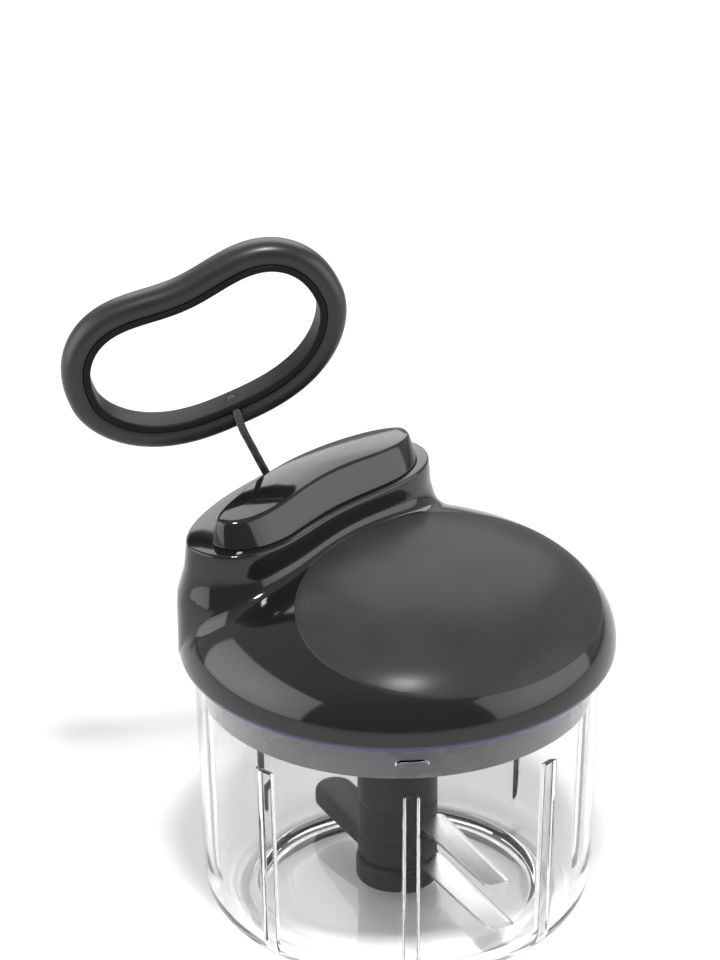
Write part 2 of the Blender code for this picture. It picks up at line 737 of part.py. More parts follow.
def screw_places():
    places = []
    for index in range(SCREW_COUNT):
        angle = math.radians(SCREW_FIRST_DEG) + math.tau * index / SCREW_COUNT
        places.append((SCREW_CIRCLE * math.cos(angle), SCREW_CIRCLE * math.sin(angle)))
    return places


def roller_place():
    """The roller turns the cord from the eyelet's upright bore to the drum's level."""
    drop = (DRUM_BOTTOM + DRUM_TOP) / 2 + ROLLER_RADIUS + CORD_RADIUS
    return Vector((EYELET_X, EYELET_Y - ROLLER_RADIUS - CORD_RADIUS - GAP, drop))


def build_lid_shell(material, lid):
    """The dome with its ledge, hollow below, with bosses, the pad's pocket and the eyelet's hole."""
    solid = [(0, LID_RIM_LEVEL), (LID_RIM_RADIUS, LID_RIM_LEVEL)] + dome_profile(0, DOME_RINGS)
    shell = add_object("lid_shell", lathe("lid_shell", solid, BOWL_STEPS), material, lid)
    ledge = kidney(LEDGE_HALF_LENGTH, LEDGE_NEAR, LEDGE_FAR, WAIST_DIP, LEDGE_FAR_POWER_SHARE)
    edge = GAP * 3
    rings = [[(x, y, LEDGE_LEVEL) for x, y in grown(ledge, -edge)]]
    for outward, downward in LEDGE_FLANK_SHARES:
        level = LEDGE_LEVEL - edge - (LEDGE_LEVEL - edge - LID_WIDEST_LEVEL) * downward
        rings.append([(x, y, level) for x, y in grown(ledge, LEDGE_FLARE * outward)])
    cut(shell, "UNION", loft("ledge_form", rings))
    hollow = [(0, LID_RIM_LEVEL - CUT_OVER), (RIM_INNER_RADIUS, LID_RIM_LEVEL - CUT_OVER)]
    hollow += [(RIM_INNER_RADIUS, LID_WIDEST_LEVEL)]
    inner = [p for p in dome_profile(LID_WALL, DOME_INNER_RINGS) if p[0] < RIM_INNER_RADIUS]
    cut(shell, "DIFFERENCE", lathe("shell_hollow_form", hollow + inner))
    inside = grown(ledge, -LEDGE_WALL)
    roof = LEDGE_LEVEL - LEDGE_WALL
    cut(shell, "DIFFERENCE", prism("ledge_hollow_form", inside, LEDGE_HOLLOW_ROOT, roof))
    bosses = []
    for x, y in screw_places():
        top = dome_level(math.hypot(x, y)) - LID_WALL / 2
        if y > 0:
            top = roof + LEDGE_WALL / 2
        bosses.append(rod("boss", SCREW_BOSS_RADIUS, PLATE_TOP + GAP, top, (x, y), KNOT_STEPS))
    bosses.append(rod("boss", TOP_BOSS_RADIUS, TOP_BOSS_BOTTOM, LID_TOP_LEVEL - LID_WALL / 2))
    cut(shell, "UNION", merged("boss_form", bosses))
    bores = []
    for place in screw_places():
        low = PLATE_TOP - CUT_OVER
        bores.append(rod("bore", SCREW_RADIUS + GAP, low, SCREW_TOP + GAP, place, SCREW_STEPS))
    low = TOP_BOSS_BOTTOM - CUT_OVER
    bores.append(rod("bore", TOP_BUSH_RADIUS + GAP, low, TOP_BUSH_TOP + GAP))
    low = LEDGE_LEVEL - EYELET_LENGTH * 2
    high = LEDGE_LEVEL + CUT_OVER
    bores.append(rod("bore", EYELET_RADIUS + GAP, low, high, (EYELET_X, EYELET_Y)))
    cut(shell, "DIFFERENCE", merged("bore_form", bores))
    pocket = patch("pad_pocket_form", GAP, -PAD_RECESS - PAD_THICKNESS - GAP, CUT_OVER)
    cut(shell, "DIFFERENCE", pocket)


def bracket_mesh(side):
    """One cheek of the roller's bracket, hanging from the ledge's underside."""
    place = roller_place()
    inner = ROLLER_HALF_WIDTH + GAP
    near = place.x + side * inner
    far = place.x + side * (inner + BRACKET_THICKNESS)
    low = (min(near, far), place.y - BRACKET_HALF_WIDTH, place.z - BRACKET_HALF_WIDTH)
    high = (max(near, far), place.y + BRACKET_HALF_WIDTH, LEDGE_LEVEL - LEDGE_WALL - GAP)
    return box("cheek", low, high)


def build_roller(material, steel, bracket_material, roller, lid):
    """The grooved guide roller, its pin and its bracket."""
    place = roller_place()
    half = ROLLER_HALF_WIDTH
    flange = ROLLER_RADIUS + CORD_RADIUS / 2
    profile = [(ROLLER_BORE, -half), (flange, -half), (flange, -half + ROLLER_FLANGE / 2)]
    profile += [(ROLLER_RADIUS, -half + ROLLER_FLANGE), (ROLLER_RADIUS, half - ROLLER_FLANGE)]
    profile += [(flange, half - ROLLER_FLANGE / 2), (flange, half), (ROLLER_BORE, half)]
    mesh = lathe("guide_roller", profile, PIN_STEPS)
    mesh.transform(Matrix.Rotation(math.pi / 2, 4, "Y"))
    add_object("guide_roller", mesh, material, roller)
    pin = rod("roller_pin", ROLLER_PIN_RADIUS, -ROLLER_PIN_HALF, ROLLER_PIN_HALF, steps=SCREW_STEPS)
    pin.transform(Matrix.Translation(place) @ Matrix.Rotation(math.pi / 2, 4, "Y"))
    add_object("roller_pin", pin, steel, lid)
    bar_low = LEDGE_LEVEL - LEDGE_WALL - GAP - BRACKET_THICKNESS
    reach = ROLLER_HALF_WIDTH + GAP + BRACKET_THICKNESS
    low = (place.x - reach, place.y - BRACKET_HALF_WIDTH, bar_low)
    high = (place.x + reach, place.y + BRACKET_HALF_WIDTH, LEDGE_LEVEL - LEDGE_WALL - GAP)
    bracket = add_object("roller_bracket", box("roller_bracket", low, high), bracket_material, lid)
    cut(bracket, "UNION", merged("cheeks_form", [bracket_mesh(-1), bracket_mesh(1)]))
    hole = rod("pin_hole_form", ROLLER_PIN_RADIUS + GAP / 2, -reach * 2, reach * 2, steps=SCREW_STEPS)
    hole.transform(Matrix.Translation(place) @ Matrix.Rotation(math.pi / 2, 4, "Y"))
    cut(bracket, "DIFFERENCE", hole)


def cap_rings(inset):
    """The cap's rings from its foot to its crown, set in by a wall for its hollow."""
    base = kidney(CAP_HALF_LENGTH - inset, CAP_NEAR + inset, CAP_FAR - inset, WAIST_DIP)
    top = kidney(CAP_TOP_HALF_LENGTH - inset, CAP_TOP_NEAR + inset, CAP_TOP_FAR - inset, WAIST_DIP / 2)
    foot = LEDGE_LEVEL + GAP
    edge = CAP_EDGE_LEVEL - inset
    rings = []
    for inward, upward in CAP_FLANK_SHARES:
        level = foot + (edge - foot) * upward
        ring = []
        for low, high in zip(base, top):
            ring.append((*Vector(low).lerp(Vector(high), inward), level))
        rings.append(ring)
    centre_y = (CAP_TOP_NEAR + CAP_TOP_FAR) / 2
    for shrink, lift in CAP_CROWN_SHARES:
        level = edge + CAP_CROWN * lift
        rings.append([(x * shrink, centre_y + (y - centre_y) * shrink, level) for x, y in top])
    return rings


def build_cap(material, lid):
    cap = add_object("island_cap", loft("island_cap", cap_rings(0)), material, lid)
    rings = cap_rings(CAP_WALL)
    rings[0] = [(x, y, LEDGE_LEVEL - CUT_OVER) for x, y, _ in rings[0]]
    cut(cap, "DIFFERENCE", loft("cap_hollow_form", rings))


def build_plate(material, lid):
    """The plate that closes the lid, with its skirt inside the bowl's mouth."""
    outer = BOWL_TOP_RADIUS - BOWL_WALL - SKIRT_GAP
    inner = outer - SKIRT_WALL
    lean = BOWL_DRAFT * -SKIRT_BOTTOM / BOWL_HEIGHT
    hole = BUSH_RADIUS + GAP
    top = PLATE_TOP
    profile = [(hole, PLATE_BOTTOM), (inner, PLATE_BOTTOM), (inner, SKIRT_BOTTOM)]
    profile += [(outer - lean, SKIRT_BOTTOM), (outer - SEAL_WIDTH / 4, PLATE_BOTTOM)]
    profile += [(PLATE_RADIUS, PLATE_BOTTOM), (PLATE_RADIUS, top), (hole, top)]
    plate = add_object("base_plate", lathe("base_plate", profile), material, lid)
    holes = []
    for place in screw_places():
        low = PLATE_BOTTOM - CUT_OVER
        holes.append(rod("hole", SCREW_RADIUS + GAP, low, PLATE_TOP + CUT_OVER, place, SCREW_STEPS))
    cut(plate, "DIFFERENCE", merged("plate_holes_form", holes))


def build_seal(material, lid):
    inner = BOWL_TOP_RADIUS - BOWL_WALL
    high = GAP + SEAL_HEIGHT
    profile = [(inner, GAP), (inner + SEAL_WIDTH, GAP), (inner + SEAL_WIDTH, high), (inner, high)]
    add_object("lid_seal", lathe("lid_seal", profile), material, lid)


def screw_mesh(name, place):
    """A pan-head screw with a dimple in its head."""
    head_top = PLATE_BOTTOM - GAP
    head_low = head_top - SCREW_HEAD_HEIGHT
    dimple = SCREW_RADIUS * SCREW_HEAD_FLAT_SHARE
    flat = SCREW_HEAD_RADIUS * SCREW_HEAD_FLAT_SHARE
    profile = [(0, head_low + dimple), (dimple, head_low), (flat, head_low)]
    profile += [(SCREW_HEAD_RADIUS, head_low + dimple), (SCREW_HEAD_RADIUS, head_top)]
    profile += [(SCREW_RADIUS, head_top), (SCREW_RADIUS, SCREW_TOP - SCREW_RADIUS), (0, SCREW_TOP)]
    mesh = lathe(name, profile, SCREW_STEPS)
    mesh.transform(Matrix.Translation((place[0], place[1], 0)))
    return mesh


def build_screws(material, lid):
    for index, place in enumerate(screw_places()):
        name = f"lid_screw_{index + 1}"
        add_object(name, screw_mesh(name, place), material, lid)


def build_bushes(material, lid):
    bore = AXLE_RADIUS + GAP / 2
    flange_low = PLATE_TOP + GAP
    high = flange_low + BUSH_FLANGE
    lower = [(bore, BUSH_BOTTOM), (BUSH_RADIUS, BUSH_BOTTOM), (BUSH_RADIUS, flange_low)]
    lower += [(BUSH_FLANGE_RADIUS, flange_low), (BUSH_FLANGE_RADIUS, high), (bore, high)]
    add_object("lower_bush", lathe("lower_bush", lower, PIN_STEPS), material, lid)
    upper = [(bore, TOP_BUSH_BOTTOM), (TOP_BUSH_RADIUS, TOP_BUSH_BOTTOM), (TOP_BUSH_RADIUS, TOP_BUSH_TOP)]
    upper += [(bore, TOP_BUSH_TOP)]
    add_object("upper_bush", lathe("upper_bush", upper, PIN_STEPS), material, lid)


def build_spring(steel, plastic, lid):
    """The shallow spring case and the flat spiral spring that winds the cord back."""
    inner = BUSH_FLANGE_RADIUS + GAP
    floor = CASE_BOTTOM + CASE_FLOOR
    top = CASE_BOTTOM + CASE_HEIGHT
    wall = CASE_RADIUS - CASE_WALL
    profile = [(inner, CASE_BOTTOM), (CASE_RADIUS, CASE_BOTTOM), (CASE_RADIUS, top), (wall, top)]
    profile += [(wall, floor), (inner, floor)]
    add_object("spring_case", lathe("spring_case", profile, REEL_STEPS), plastic, lid)
    steps = SPRING_TURNS * SPRING_STEPS
    rise = floor + GAP
    path = []
    for step in range(steps + 1):
        angle = math.tau * SPRING_TURNS * step / steps
        radius = SPRING_INNER + (SPRING_OUTER - SPRING_INNER) * step / steps
        out = Vector((math.cos(angle), math.sin(angle), 0))
        path.append((out * radius + Vector((0, 0, rise)), out, Vector((0, 0, 1))))
    half = SPRING_STRIP / 2
    section = [(-half, 0), (half, 0), (half, SPRING_HEIGHT), (-half, SPRING_HEIGHT)]
    add_object("recoil_spring", sweep("recoil_spring", path, section, False), steel, lid)


def build_drum(plastic, cord, drum):
    """The flanged drum, its arbor inside the spring, and the cord wound on it."""
    bore = AXLE_RADIUS + GAP
    arbor = SPRING_INNER - SPRING_STRIP / 2 - GAP
    arbor_low = CASE_BOTTOM + CASE_FLOOR + GAP + BUSH_FLANGE
    low_flange = DRUM_BOTTOM + DRUM_FLANGE
    high_flange = DRUM_TOP - DRUM_FLANGE
    core = DRUM_CORE_RADIUS
    rim = DRUM_FLANGE_RADIUS
    profile = [(bore, arbor_low), (arbor, arbor_low), (arbor, DRUM_BOTTOM), (rim, DRUM_BOTTOM)]
    profile += [(rim, low_flange), (core, low_flange), (core, high_flange)]
    profile += [(rim, high_flange), (rim, DRUM_TOP), (bore, DRUM_TOP)]
    add_object("cord_drum", lathe("cord_drum", profile, REEL_STEPS), plastic, drum)
    low = low_flange + GAP
    high = high_flange - GAP
    inner = DRUM_CORE_RADIUS + GAP
    wound = [(inner, low), (WINDING_RADIUS, low), (WINDING_RADIUS, high), (inner, high)]
    add_object("cord_winding", lathe("cord_winding", wound, REEL_STEPS), cord, drum)


def build_axle(steel, plastic, drum):
    """The axle, its clip, and the six-sided coupling that plugs into the hub."""
    edge = AXLE_RADIUS / 4
    rod_profile = [(0, AXLE_BOTTOM), (AXLE_RADIUS - edge, AXLE_BOTTOM), (AXLE_RADIUS, AXLE_BOTTOM + edge)]
    rod_profile += [(AXLE_RADIUS, AXLE_TOP - edge), (AXLE_RADIUS - edge, AXLE_TOP), (0, AXLE_TOP)]
    add_object("drive_axle", lathe("drive_axle", rod_profile, PIN_STEPS), steel, drum)
    outline = circle(COUPLING_RADIUS, COUPLING_SIDES)
    plug = prism("drive_coupling", outline, COUPLING_BOTTOM, COUPLING_TOP)
    coupling = add_object("drive_coupling", plug, plastic, drum)
    bore_top = COUPLING_TOP + CUT_OVER
    bore = rod("coupling_bore_form", AXLE_RADIUS + GAP, AXLE_BOTTOM - GAP, bore_top)
    cut(coupling, "DIFFERENCE", bore)


def build_eyelet(material, lid):
    flange_low = LEDGE_LEVEL + GAP
    bottom = LEDGE_LEVEL - EYELET_LENGTH
    top = EYELET_TOP
    soft = EYELET_FLANGE / 2
    profile = [(EYELET_BORE, bottom), (EYELET_RADIUS, bottom), (EYELET_RADIUS, flange_low)]
    profile += [(EYELET_FLANGE_RADIUS, flange_low), (EYELET_FLANGE_RADIUS, top - soft)]
    profile += [(EYELET_FLANGE_RADIUS - soft, top), (EYELET_BORE + soft, top), (EYELET_BORE, top - soft)]
    mesh = lathe("cord_eyelet", profile, PIN_STEPS)
    mesh.transform(Matrix.Translation((EYELET_X, EYELET_Y, 0)))
    add_object("cord_eyelet", mesh, material, lid)


def cord_curve(name, points, material, parent):
    """A round cord on a straight-sided spline with filled ends."""
    curve = bpy.data.curves.new(name, "CURVE")
    curve.dimensions = "3D"
    curve.bevel_depth = CORD_RADIUS
    curve.bevel_resolution = 2
    curve.use_fill_caps = True
    spline = curve.splines.new("POLY")
    spline.points.add(len(points) - 1)
    for point, place in zip(spline.points, points):
        point.co = (*place, 1)
    curve.materials.append(material)
    item = bpy.data.objects.new(name, curve)
    bpy.context.scene.collection.objects.link(item)
    item.parent = parent
    return item


def smooth_path(route, count):
    """Evenly spread points on a smooth curve through the route's points."""
    dense = []
    spans = len(route) - 1
    for span in range(spans):
        before = route[max(span - 1, 0)]
        start = route[span]
        end = route[span + 1]
        after = route[min(span + 2, spans)]
        for step in range(SPAN_STEPS):
            t = step / SPAN_STEPS
            a = 2 * start
            b = (end - before) * t
            c = (2 * before - 5 * start + 4 * end - after) * t * t
            d = (3 * start - before - 3 * end + after) * t * t * t
            dense.append((a + b + c + d) / 2)
    dense.append(route[-1])
    lengths = [0.0]
    for first, second in zip(dense, dense[1:]):
        lengths.append(lengths[-1] + (second - first).length)
    points = []
    index = 0
    for step in range(count):
        goal = lengths[-1] * step / (count - 1)
        while index < len(dense) - 2 and lengths[index + 1] < goal:
            index += 1
        span = lengths[index + 1] - lengths[index]
        share = (goal - lengths[index]) / span if span else 0
        points.append(dense[index].lerp(dense[index + 1], min(1.0, share)))
    return points


def handle_matrix():
    turn = Matrix.Rotation(math.radians(HANDLE_TURN_DEG), 4, HANDLE_AXIS_SHARES.normalized())
    return Matrix.Translation(EYELET_MOUTH + HANDLE_OFFSET) @ turn


def cord_hole():
    """The middle of the cord's hole in the ring's underside, in the handle's frame."""
    return Vector((0, HOLE_SHIFT, -KNOT_HEIGHT))


def pull_route():
    """The free cord: out of the handle's slanted hole, round its lip and straight to the eyelet."""
    return [EYELET_MOUTH + Vector(place) for place in CORD_ROUTE]


def inner_route():
    """The cord inside the lid: down the eyelet, round the roller and off to the drum."""
    roller = roller_place()
    turn = ROLLER_RADIUS + CORD_RADIUS + GAP / 2
    top = Vector((EYELET_X, roller.y + turn, EYELET_TOP - CORD_RADIUS))
    route = [top]
    for level in (LEDGE_LEVEL - EYELET_LENGTH, roller.z + turn):
        route.append(Vector((top.x, top.y, level)))
    for step in range(1, ROLLER_BEND_STEPS + 1):
        angle = math.pi / 2 * step / ROLLER_BEND_STEPS
        route.append(roller + Vector((0, turn * math.cos(angle), -turn * math.sin(angle))))
    wound = WINDING_RADIUS + CORD_RADIUS + GAP
    base = Vector((roller.x, roller.y, 0))
    far = base.length
    lean = math.atan2(base.y, base.x) - math.acos(wound / far)
    touch = Vector((wound * math.cos(lean), wound * math.sin(lean), roller.z - turn))
    leave = route[-1]
    return route + [leave.lerp(touch, share) for share in INNER_RUN_SHARES] + [touch]


def ring_outline():
    """The handle's inner wall in its own frame: round towards the hole, waisted opposite."""
    middle = -KNOT_INSET - RING_DEPTH / 2
    outline = []
    for step in range(RING_STEPS):
        angle = math.tau * step / RING_STEPS
        along = math.cos(angle)
        across = math.sin(angle)
        power = RING_HOLE_SIDE_POWER_SHARE if across > 0 else RING_POWER_SHARE
        x = RING_HALF_LENGTH * math.copysign(abs(along) ** RING_POWER_SHARE, along)
        y = middle + RING_DEPTH / 2 * math.copysign(abs(across) ** power, across)
        if across < 0:
            y += RING_DIP / 2 * math.cos(math.pi * x / RING_HALF_LENGTH) * abs(across)
        outline.append((x, y))
    return outline


def ring_path():
    outline = ring_outline()
    path = []
    for index, (x, y) in enumerate(outline):
        before = outline[index - 1]
        after = outline[(index + 1) % RING_STEPS]
        along = Vector((after[0] - before[0], after[1] - before[1])).normalized()
        path.append((Vector((x, y, -KNOT_HEIGHT)), Vector((along.y, -along.x, 0)), Vector((0, 0, 1))))
    return path


def band_section():
    """The inner band's section, from the ring's inner wall outwards, with soft corners."""
    soft = BAND_WIDTH / 4
    low = [(0, soft), (soft, 0), (BAND_WIDTH - soft, 0), (BAND_WIDTH, soft)]
    return low + [(out, RING_HEIGHT - up) for out, up in reversed(low)]


def grip_section():
    """The outer grip's section: flat towards the band, full and round outside."""
    inner = BAND_WIDTH + BAND_GROOVE
    half = RING_HEIGHT / 2 - GRIP_LIFT
    middle = RING_HEIGHT / 2
    full = RING_WIDTH - inner
    out_power, up_power = GRIP_ROUND_SHARES
    section = [(inner, middle + half * 3 / 4), (inner, middle - half * 3 / 4)]
    for step in range(GRIP_STEPS + 1):
        angle = -math.pi / 2 + math.pi * step / GRIP_STEPS
        round_out = max(0, math.cos(angle)) ** out_power
        out = inner + full * (GRIP_FLAT_SHARE + (1 - GRIP_FLAT_SHARE) * round_out)
        up = math.copysign(abs(math.sin(angle)) ** up_power, math.sin(angle))
        section.append((out, middle + half * up))
    return section


def build_handle(material, cord, ring):
    """Inner band and outer grip of the ring, with the cord's slanted hole and the knot's pocket."""
    path = ring_path()
    band = add_object("handle_band", sweep("handle_band", path, band_section(), True), material, ring)
    grip = add_object("handle_grip", sweep("handle_grip", path, grip_section(), True), material, ring)
    hole = cord_hole()
    slant = hole.to_track_quat("Z", "X").to_matrix().to_4x4()
    for target in (band, grip):
        bore = rod(f"{target.name}_hole_form", HOLE_RADIUS, 0, hole.length + CUT_OVER, steps=SCREW_STEPS)
        bore.transform(slant)
        cut(target, "DIFFERENCE", bore)
    pocket = lathe("knot_pocket_form", ball_profile(POCKET_RADIUS), KNOT_STEPS)
    cut(band, "DIFFERENCE", pocket)
    cut(grip, "DIFFERENCE", pocket.copy())
    add_object("cord_knot", lathe("cord_knot", ball_profile(KNOT_RADIUS), KNOT_STEPS), cord, ring)


def ball_profile(radius):
    profile = [(0, -radius)]
    for step in range(1, BALL_STEPS):
        angle = -math.pi / 2 + math.pi * step / BALL_STEPS
        profile.append((radius * math.cos(angle), radius * math.sin(angle)))
    return profile + [(0, radius)]


def add_empty(name, place, parent=None):
    empty = bpy.data.objects.new(name, None)
    bpy.context.scene.collection.objects.link(empty)
    empty.location = place
    empty.parent = parent
    return empty


def main():
    clear_scene()
    clear = make_material("clear_plastic", (0.86, 0.89, 0.90), 0.05, alpha=0.3)
    gloss = make_material("gloss_black", (0.016, 0.016, 0.017), 0.08)
    matte = make_material("matte_black", (0.035, 0.035, 0.036), 0.45)
    satin = make_material("satin_black", (0.022, 0.022, 0.023), 0.35)
    dark = make_material("dark_grey_plastic", (0.05, 0.05, 0.052), 0.4)
    steel = make_material("polished_steel", (0.72, 0.72, 0.71), 0.15, 1.0)
    brass = make_material("brass", (0.70, 0.52, 0.24), 0.3, 1.0)
    cord = make_material("black_cord", (0.02, 0.02, 0.02), 0.85)
    rubber = make_material("seal_rubber", (0.04, 0.04, 0.042), 0.7)
    acetal = make_material("white_acetal", (0.75, 0.75, 0.72), 0.4)

    build_bowl(clear)
    build_pivot_pin(steel)
    carrier = add_empty("blade_carrier", (0, 0, 0))
    build_hub_bush(acetal, carrier)
    unit = add_empty("blade_unit", (0, 0, 0), carrier)
    build_blade_unit(dark, steel, unit)

    lid = add_empty("lid", (0, 0, BOWL_HEIGHT))
    build_lid_shell(gloss, lid)
    pad = patch("palm_pad", 0, -PAD_RECESS - PAD_THICKNESS, -PAD_RECESS)
    add_object("palm_pad", pad, matte, lid)
    build_cap(gloss, lid)
    build_plate(dark, lid)
    build_seal(rubber, lid)
    build_screws(steel, lid)
    build_bushes(brass, lid)
    build_spring(steel, dark, lid)
    build_eyelet(satin, lid)

    drum = add_empty("drum_spin", (0, 0, 0), lid)
    build_drum(acetal, cord, drum)
    build_axle(steel, acetal, drum)
    roller = add_empty("roller_spin", roller_place(), lid)
    build_roller(acetal, steel, dark, roller, lid)

    ring = add_empty("handle_swing", (0, 0, 0), lid)
    ring.matrix_local = handle_matrix()
    build_handle(satin, cord, ring)
    cord_curve("pull_cord", smooth_path(pull_route(), PULL_CORD_POINTS), cord, lid)
    cord_curve("inner_cord", smooth_path(inner_route(), INNER_CORD_POINTS), cord, lid)


main()
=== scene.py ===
"""A pull-cord food chopper in use: clear ribbed bowl, blades, glossy black lid and ring handle.

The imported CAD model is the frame. This script lays finished meshes over its visible nodes, gives
every node a surface finish, and sets the studio. Lengths are in metres and angles in degrees, in
the frame's own axes: +Z up the bowl's axis, +Y towards the lid's raised island.
"""
from __future__ import annotations

import logging
import math
from collections.abc import Iterable, Sequence
from dataclasses import dataclass, field
from enum import Enum
from itertools import accumulate, repeat

import bmesh
import bpy
from mathutils import Matrix, Vector

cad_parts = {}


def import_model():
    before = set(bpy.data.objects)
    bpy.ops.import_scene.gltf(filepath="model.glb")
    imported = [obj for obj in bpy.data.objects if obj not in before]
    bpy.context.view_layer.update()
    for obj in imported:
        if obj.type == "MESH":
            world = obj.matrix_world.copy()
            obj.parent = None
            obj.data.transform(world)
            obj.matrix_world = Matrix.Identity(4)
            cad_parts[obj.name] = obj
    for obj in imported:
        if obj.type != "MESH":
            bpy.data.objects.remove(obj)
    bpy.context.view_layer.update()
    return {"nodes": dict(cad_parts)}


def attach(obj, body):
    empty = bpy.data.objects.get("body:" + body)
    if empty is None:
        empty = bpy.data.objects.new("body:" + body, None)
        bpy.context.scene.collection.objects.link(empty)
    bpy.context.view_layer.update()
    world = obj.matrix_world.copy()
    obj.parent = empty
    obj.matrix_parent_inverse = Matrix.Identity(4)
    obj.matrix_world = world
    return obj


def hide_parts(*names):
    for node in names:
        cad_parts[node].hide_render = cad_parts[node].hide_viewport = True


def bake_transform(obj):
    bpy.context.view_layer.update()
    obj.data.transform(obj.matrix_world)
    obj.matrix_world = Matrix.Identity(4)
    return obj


LOG = logging.getLogger("food_chopper")

Colour = tuple[float, float, float]
Pair = tuple[float, float]
Ring = list[Vector]
Material = bpy.types.Material
Mesh = bpy.types.Mesh
Object = bpy.types.Object
Socket = bpy.types.NodeSocket

ORIGIN = Vector((0, 0, 0))
WELD_DISTANCE = 1e-7
CORNER_SHARE = 0.45
BLADE_TURN = -110.5


# Shapes


def blended(low: float, high: float, share: float) -> float:
    """The value at a share of the way from low to high."""
    return low + (high - low) * share


def eased(share: float) -> float:
    """A smooth step from 0 to 1, flat at both ends."""
    held = min(1.0, max(0.0, share))
    return held * held * (3 - 2 * held)


def power_of(value: float, power: float) -> float:
    """The value's size raised to a power, with its sign kept."""
    return math.copysign(abs(value) ** power, value)


def table_value(table: Sequence[Pair], key: float) -> float:
    """Reads a table of (key, value) pairs with straight runs between them.

    Args:
        table: The pairs, by rising key.
        key: Where to read; outside the table its end values hold.

    Returns:
        The value there.
    """
    for (low, low_value), (high, high_value) in zip(table, table[1:]):
        if key <= high:
            return blended(low_value, high_value, max(0.0, (key - low) / (high - low)))
    return table[-1][1]


def even_angles(count: int) -> list[float]:
    """Angles at even steps round a full turn."""
    return [math.tau * step / count for step in range(count)]


def off_pitch(angle: float, first: float, count: int) -> float:
    """How many radians an angle is from the nearest of evenly set ones; first is in degrees."""
    pitch = math.tau / count
    return abs((angle - math.radians(first) + pitch / 2) % pitch - pitch / 2)


def quarter_arc(steps: int) -> list[Pair]:
    """A quarter circle's way across and up from its foot, as shares of its radius."""
    angles = [math.pi / 2 * step / steps for step in range(steps + 1)]
    return [(math.sin(angle), 1 - math.cos(angle)) for angle in angles]


def level_ring(angles: Sequence[float], radii: Iterable[float], level: float) -> Ring:
    """Points at one level, each at its own angle and radius about the Z axis."""
    return [Vector((r * math.cos(a), r * math.sin(a), level)) for a, r in zip(angles, radii)]


def smooth_run(points: Sequence[Vector], spans: int) -> list[Vector]:
    """Points on a smooth curve through all the given ones.

    Args:
        points: What the curve passes through.
        spans: Steps between two neighbours.

    Returns:
        The curve's points, from the first to the last of those given.
    """
    run = []
    last = len(points) - 1
    for index in range(last):
        before = points[max(index - 1, 0)]
        start = points[index]
        end = points[index + 1]
        after = points[min(index + 2, last)]
        for step in range(spans):
            share = step / spans
            first = (end - before) * share
            second = (2 * before - 5 * start + 4 * end - after) * share**2
            third = (3 * start - before - 3 * end + after) * share**3
            run.append((2 * start + first + second + third) / 2)
    return run + [points[-1].copy()]


def spaced(points: Sequence[Vector], lengths: Sequence[float], count: int) -> list[Vector]:
    """Points at even distances along a line, from its start on.

    Args:
        points: A dense run of points.
        lengths: What each span between two of them counts for.
        count: How many steps the whole run has.

    Returns:
        The points at the start of each step, and the run's end.
    """
    reach = list(accumulate(lengths, initial=0.0))
    chosen = []
    index = 0
    for step in range(count + 1):
        goal = reach[-1] * step / count
        while index < len(lengths) - 1 and reach[index + 1] < goal:
            index += 1
        share = (goal - reach[index]) / lengths[index]
        chosen.append(points[index].lerp(points[index + 1], min(1.0, share)))
    return chosen


def gaps(points: Sequence[Vector]) -> list[float]:
    """The distances between neighbours in a run of points."""
    return [(after - before).length for before, after in zip(points, points[1:])]


def outward_directions(outline: Sequence[Vector]) -> list[Vector]:
    """Unit vectors that point out of a closed outline on XY, drawn counter-clockwise."""
    ways = [b - a for a, b in zip([outline[-1], *outline], [*outline[1:], outline[0]])]
    return [Vector((way.y, -way.x, 0)).normalized() for way in ways]


def softened(
    profile: Sequence[Pair], radius: float, steps: int = 4, closed: bool = True
) -> list[Pair]:
    """Rounds the corners of a section.

    Args:
        profile: The section's corners.
        radius: The most that a corner is cut back along each of its sides.
        steps: Straight runs in a rounded corner.
        closed: Whether the section comes back to its start; the ends of an open one stay.

    Returns:
        The rounded section.
    """
    result: list[Pair] = []
    count = len(profile)
    for index, corner in enumerate(profile):
        if not closed and index in (0, count - 1):
            result.append(corner)
            continue
        here = Vector(corner)
        before = Vector(profile[index - 1]) - here
        after = Vector(profile[(index + 1) % count]) - here
        cut = min(radius, before.length * CORNER_SHARE, after.length * CORNER_SHARE)
        start = here + before.normalized() * cut
        end = here + after.normalized() * cut
        for step in range(steps + 1):
            share = step / steps
            place = start.lerp(here, share).lerp(here.lerp(end, share), share)
            result.append((place.x, place.y))
    return result


def shaded(mesh: Mesh, sharp: float) -> Mesh:
    """The mesh with smooth shading, except at edges past an angle in degrees.

    Args:
        mesh: What is shaded.
        sharp: The angle.

    Returns:
        The same mesh.
    """
    mesh.shade_smooth()
    mesh.set_sharp_from_angle(angle=math.radians(sharp))
    return mesh


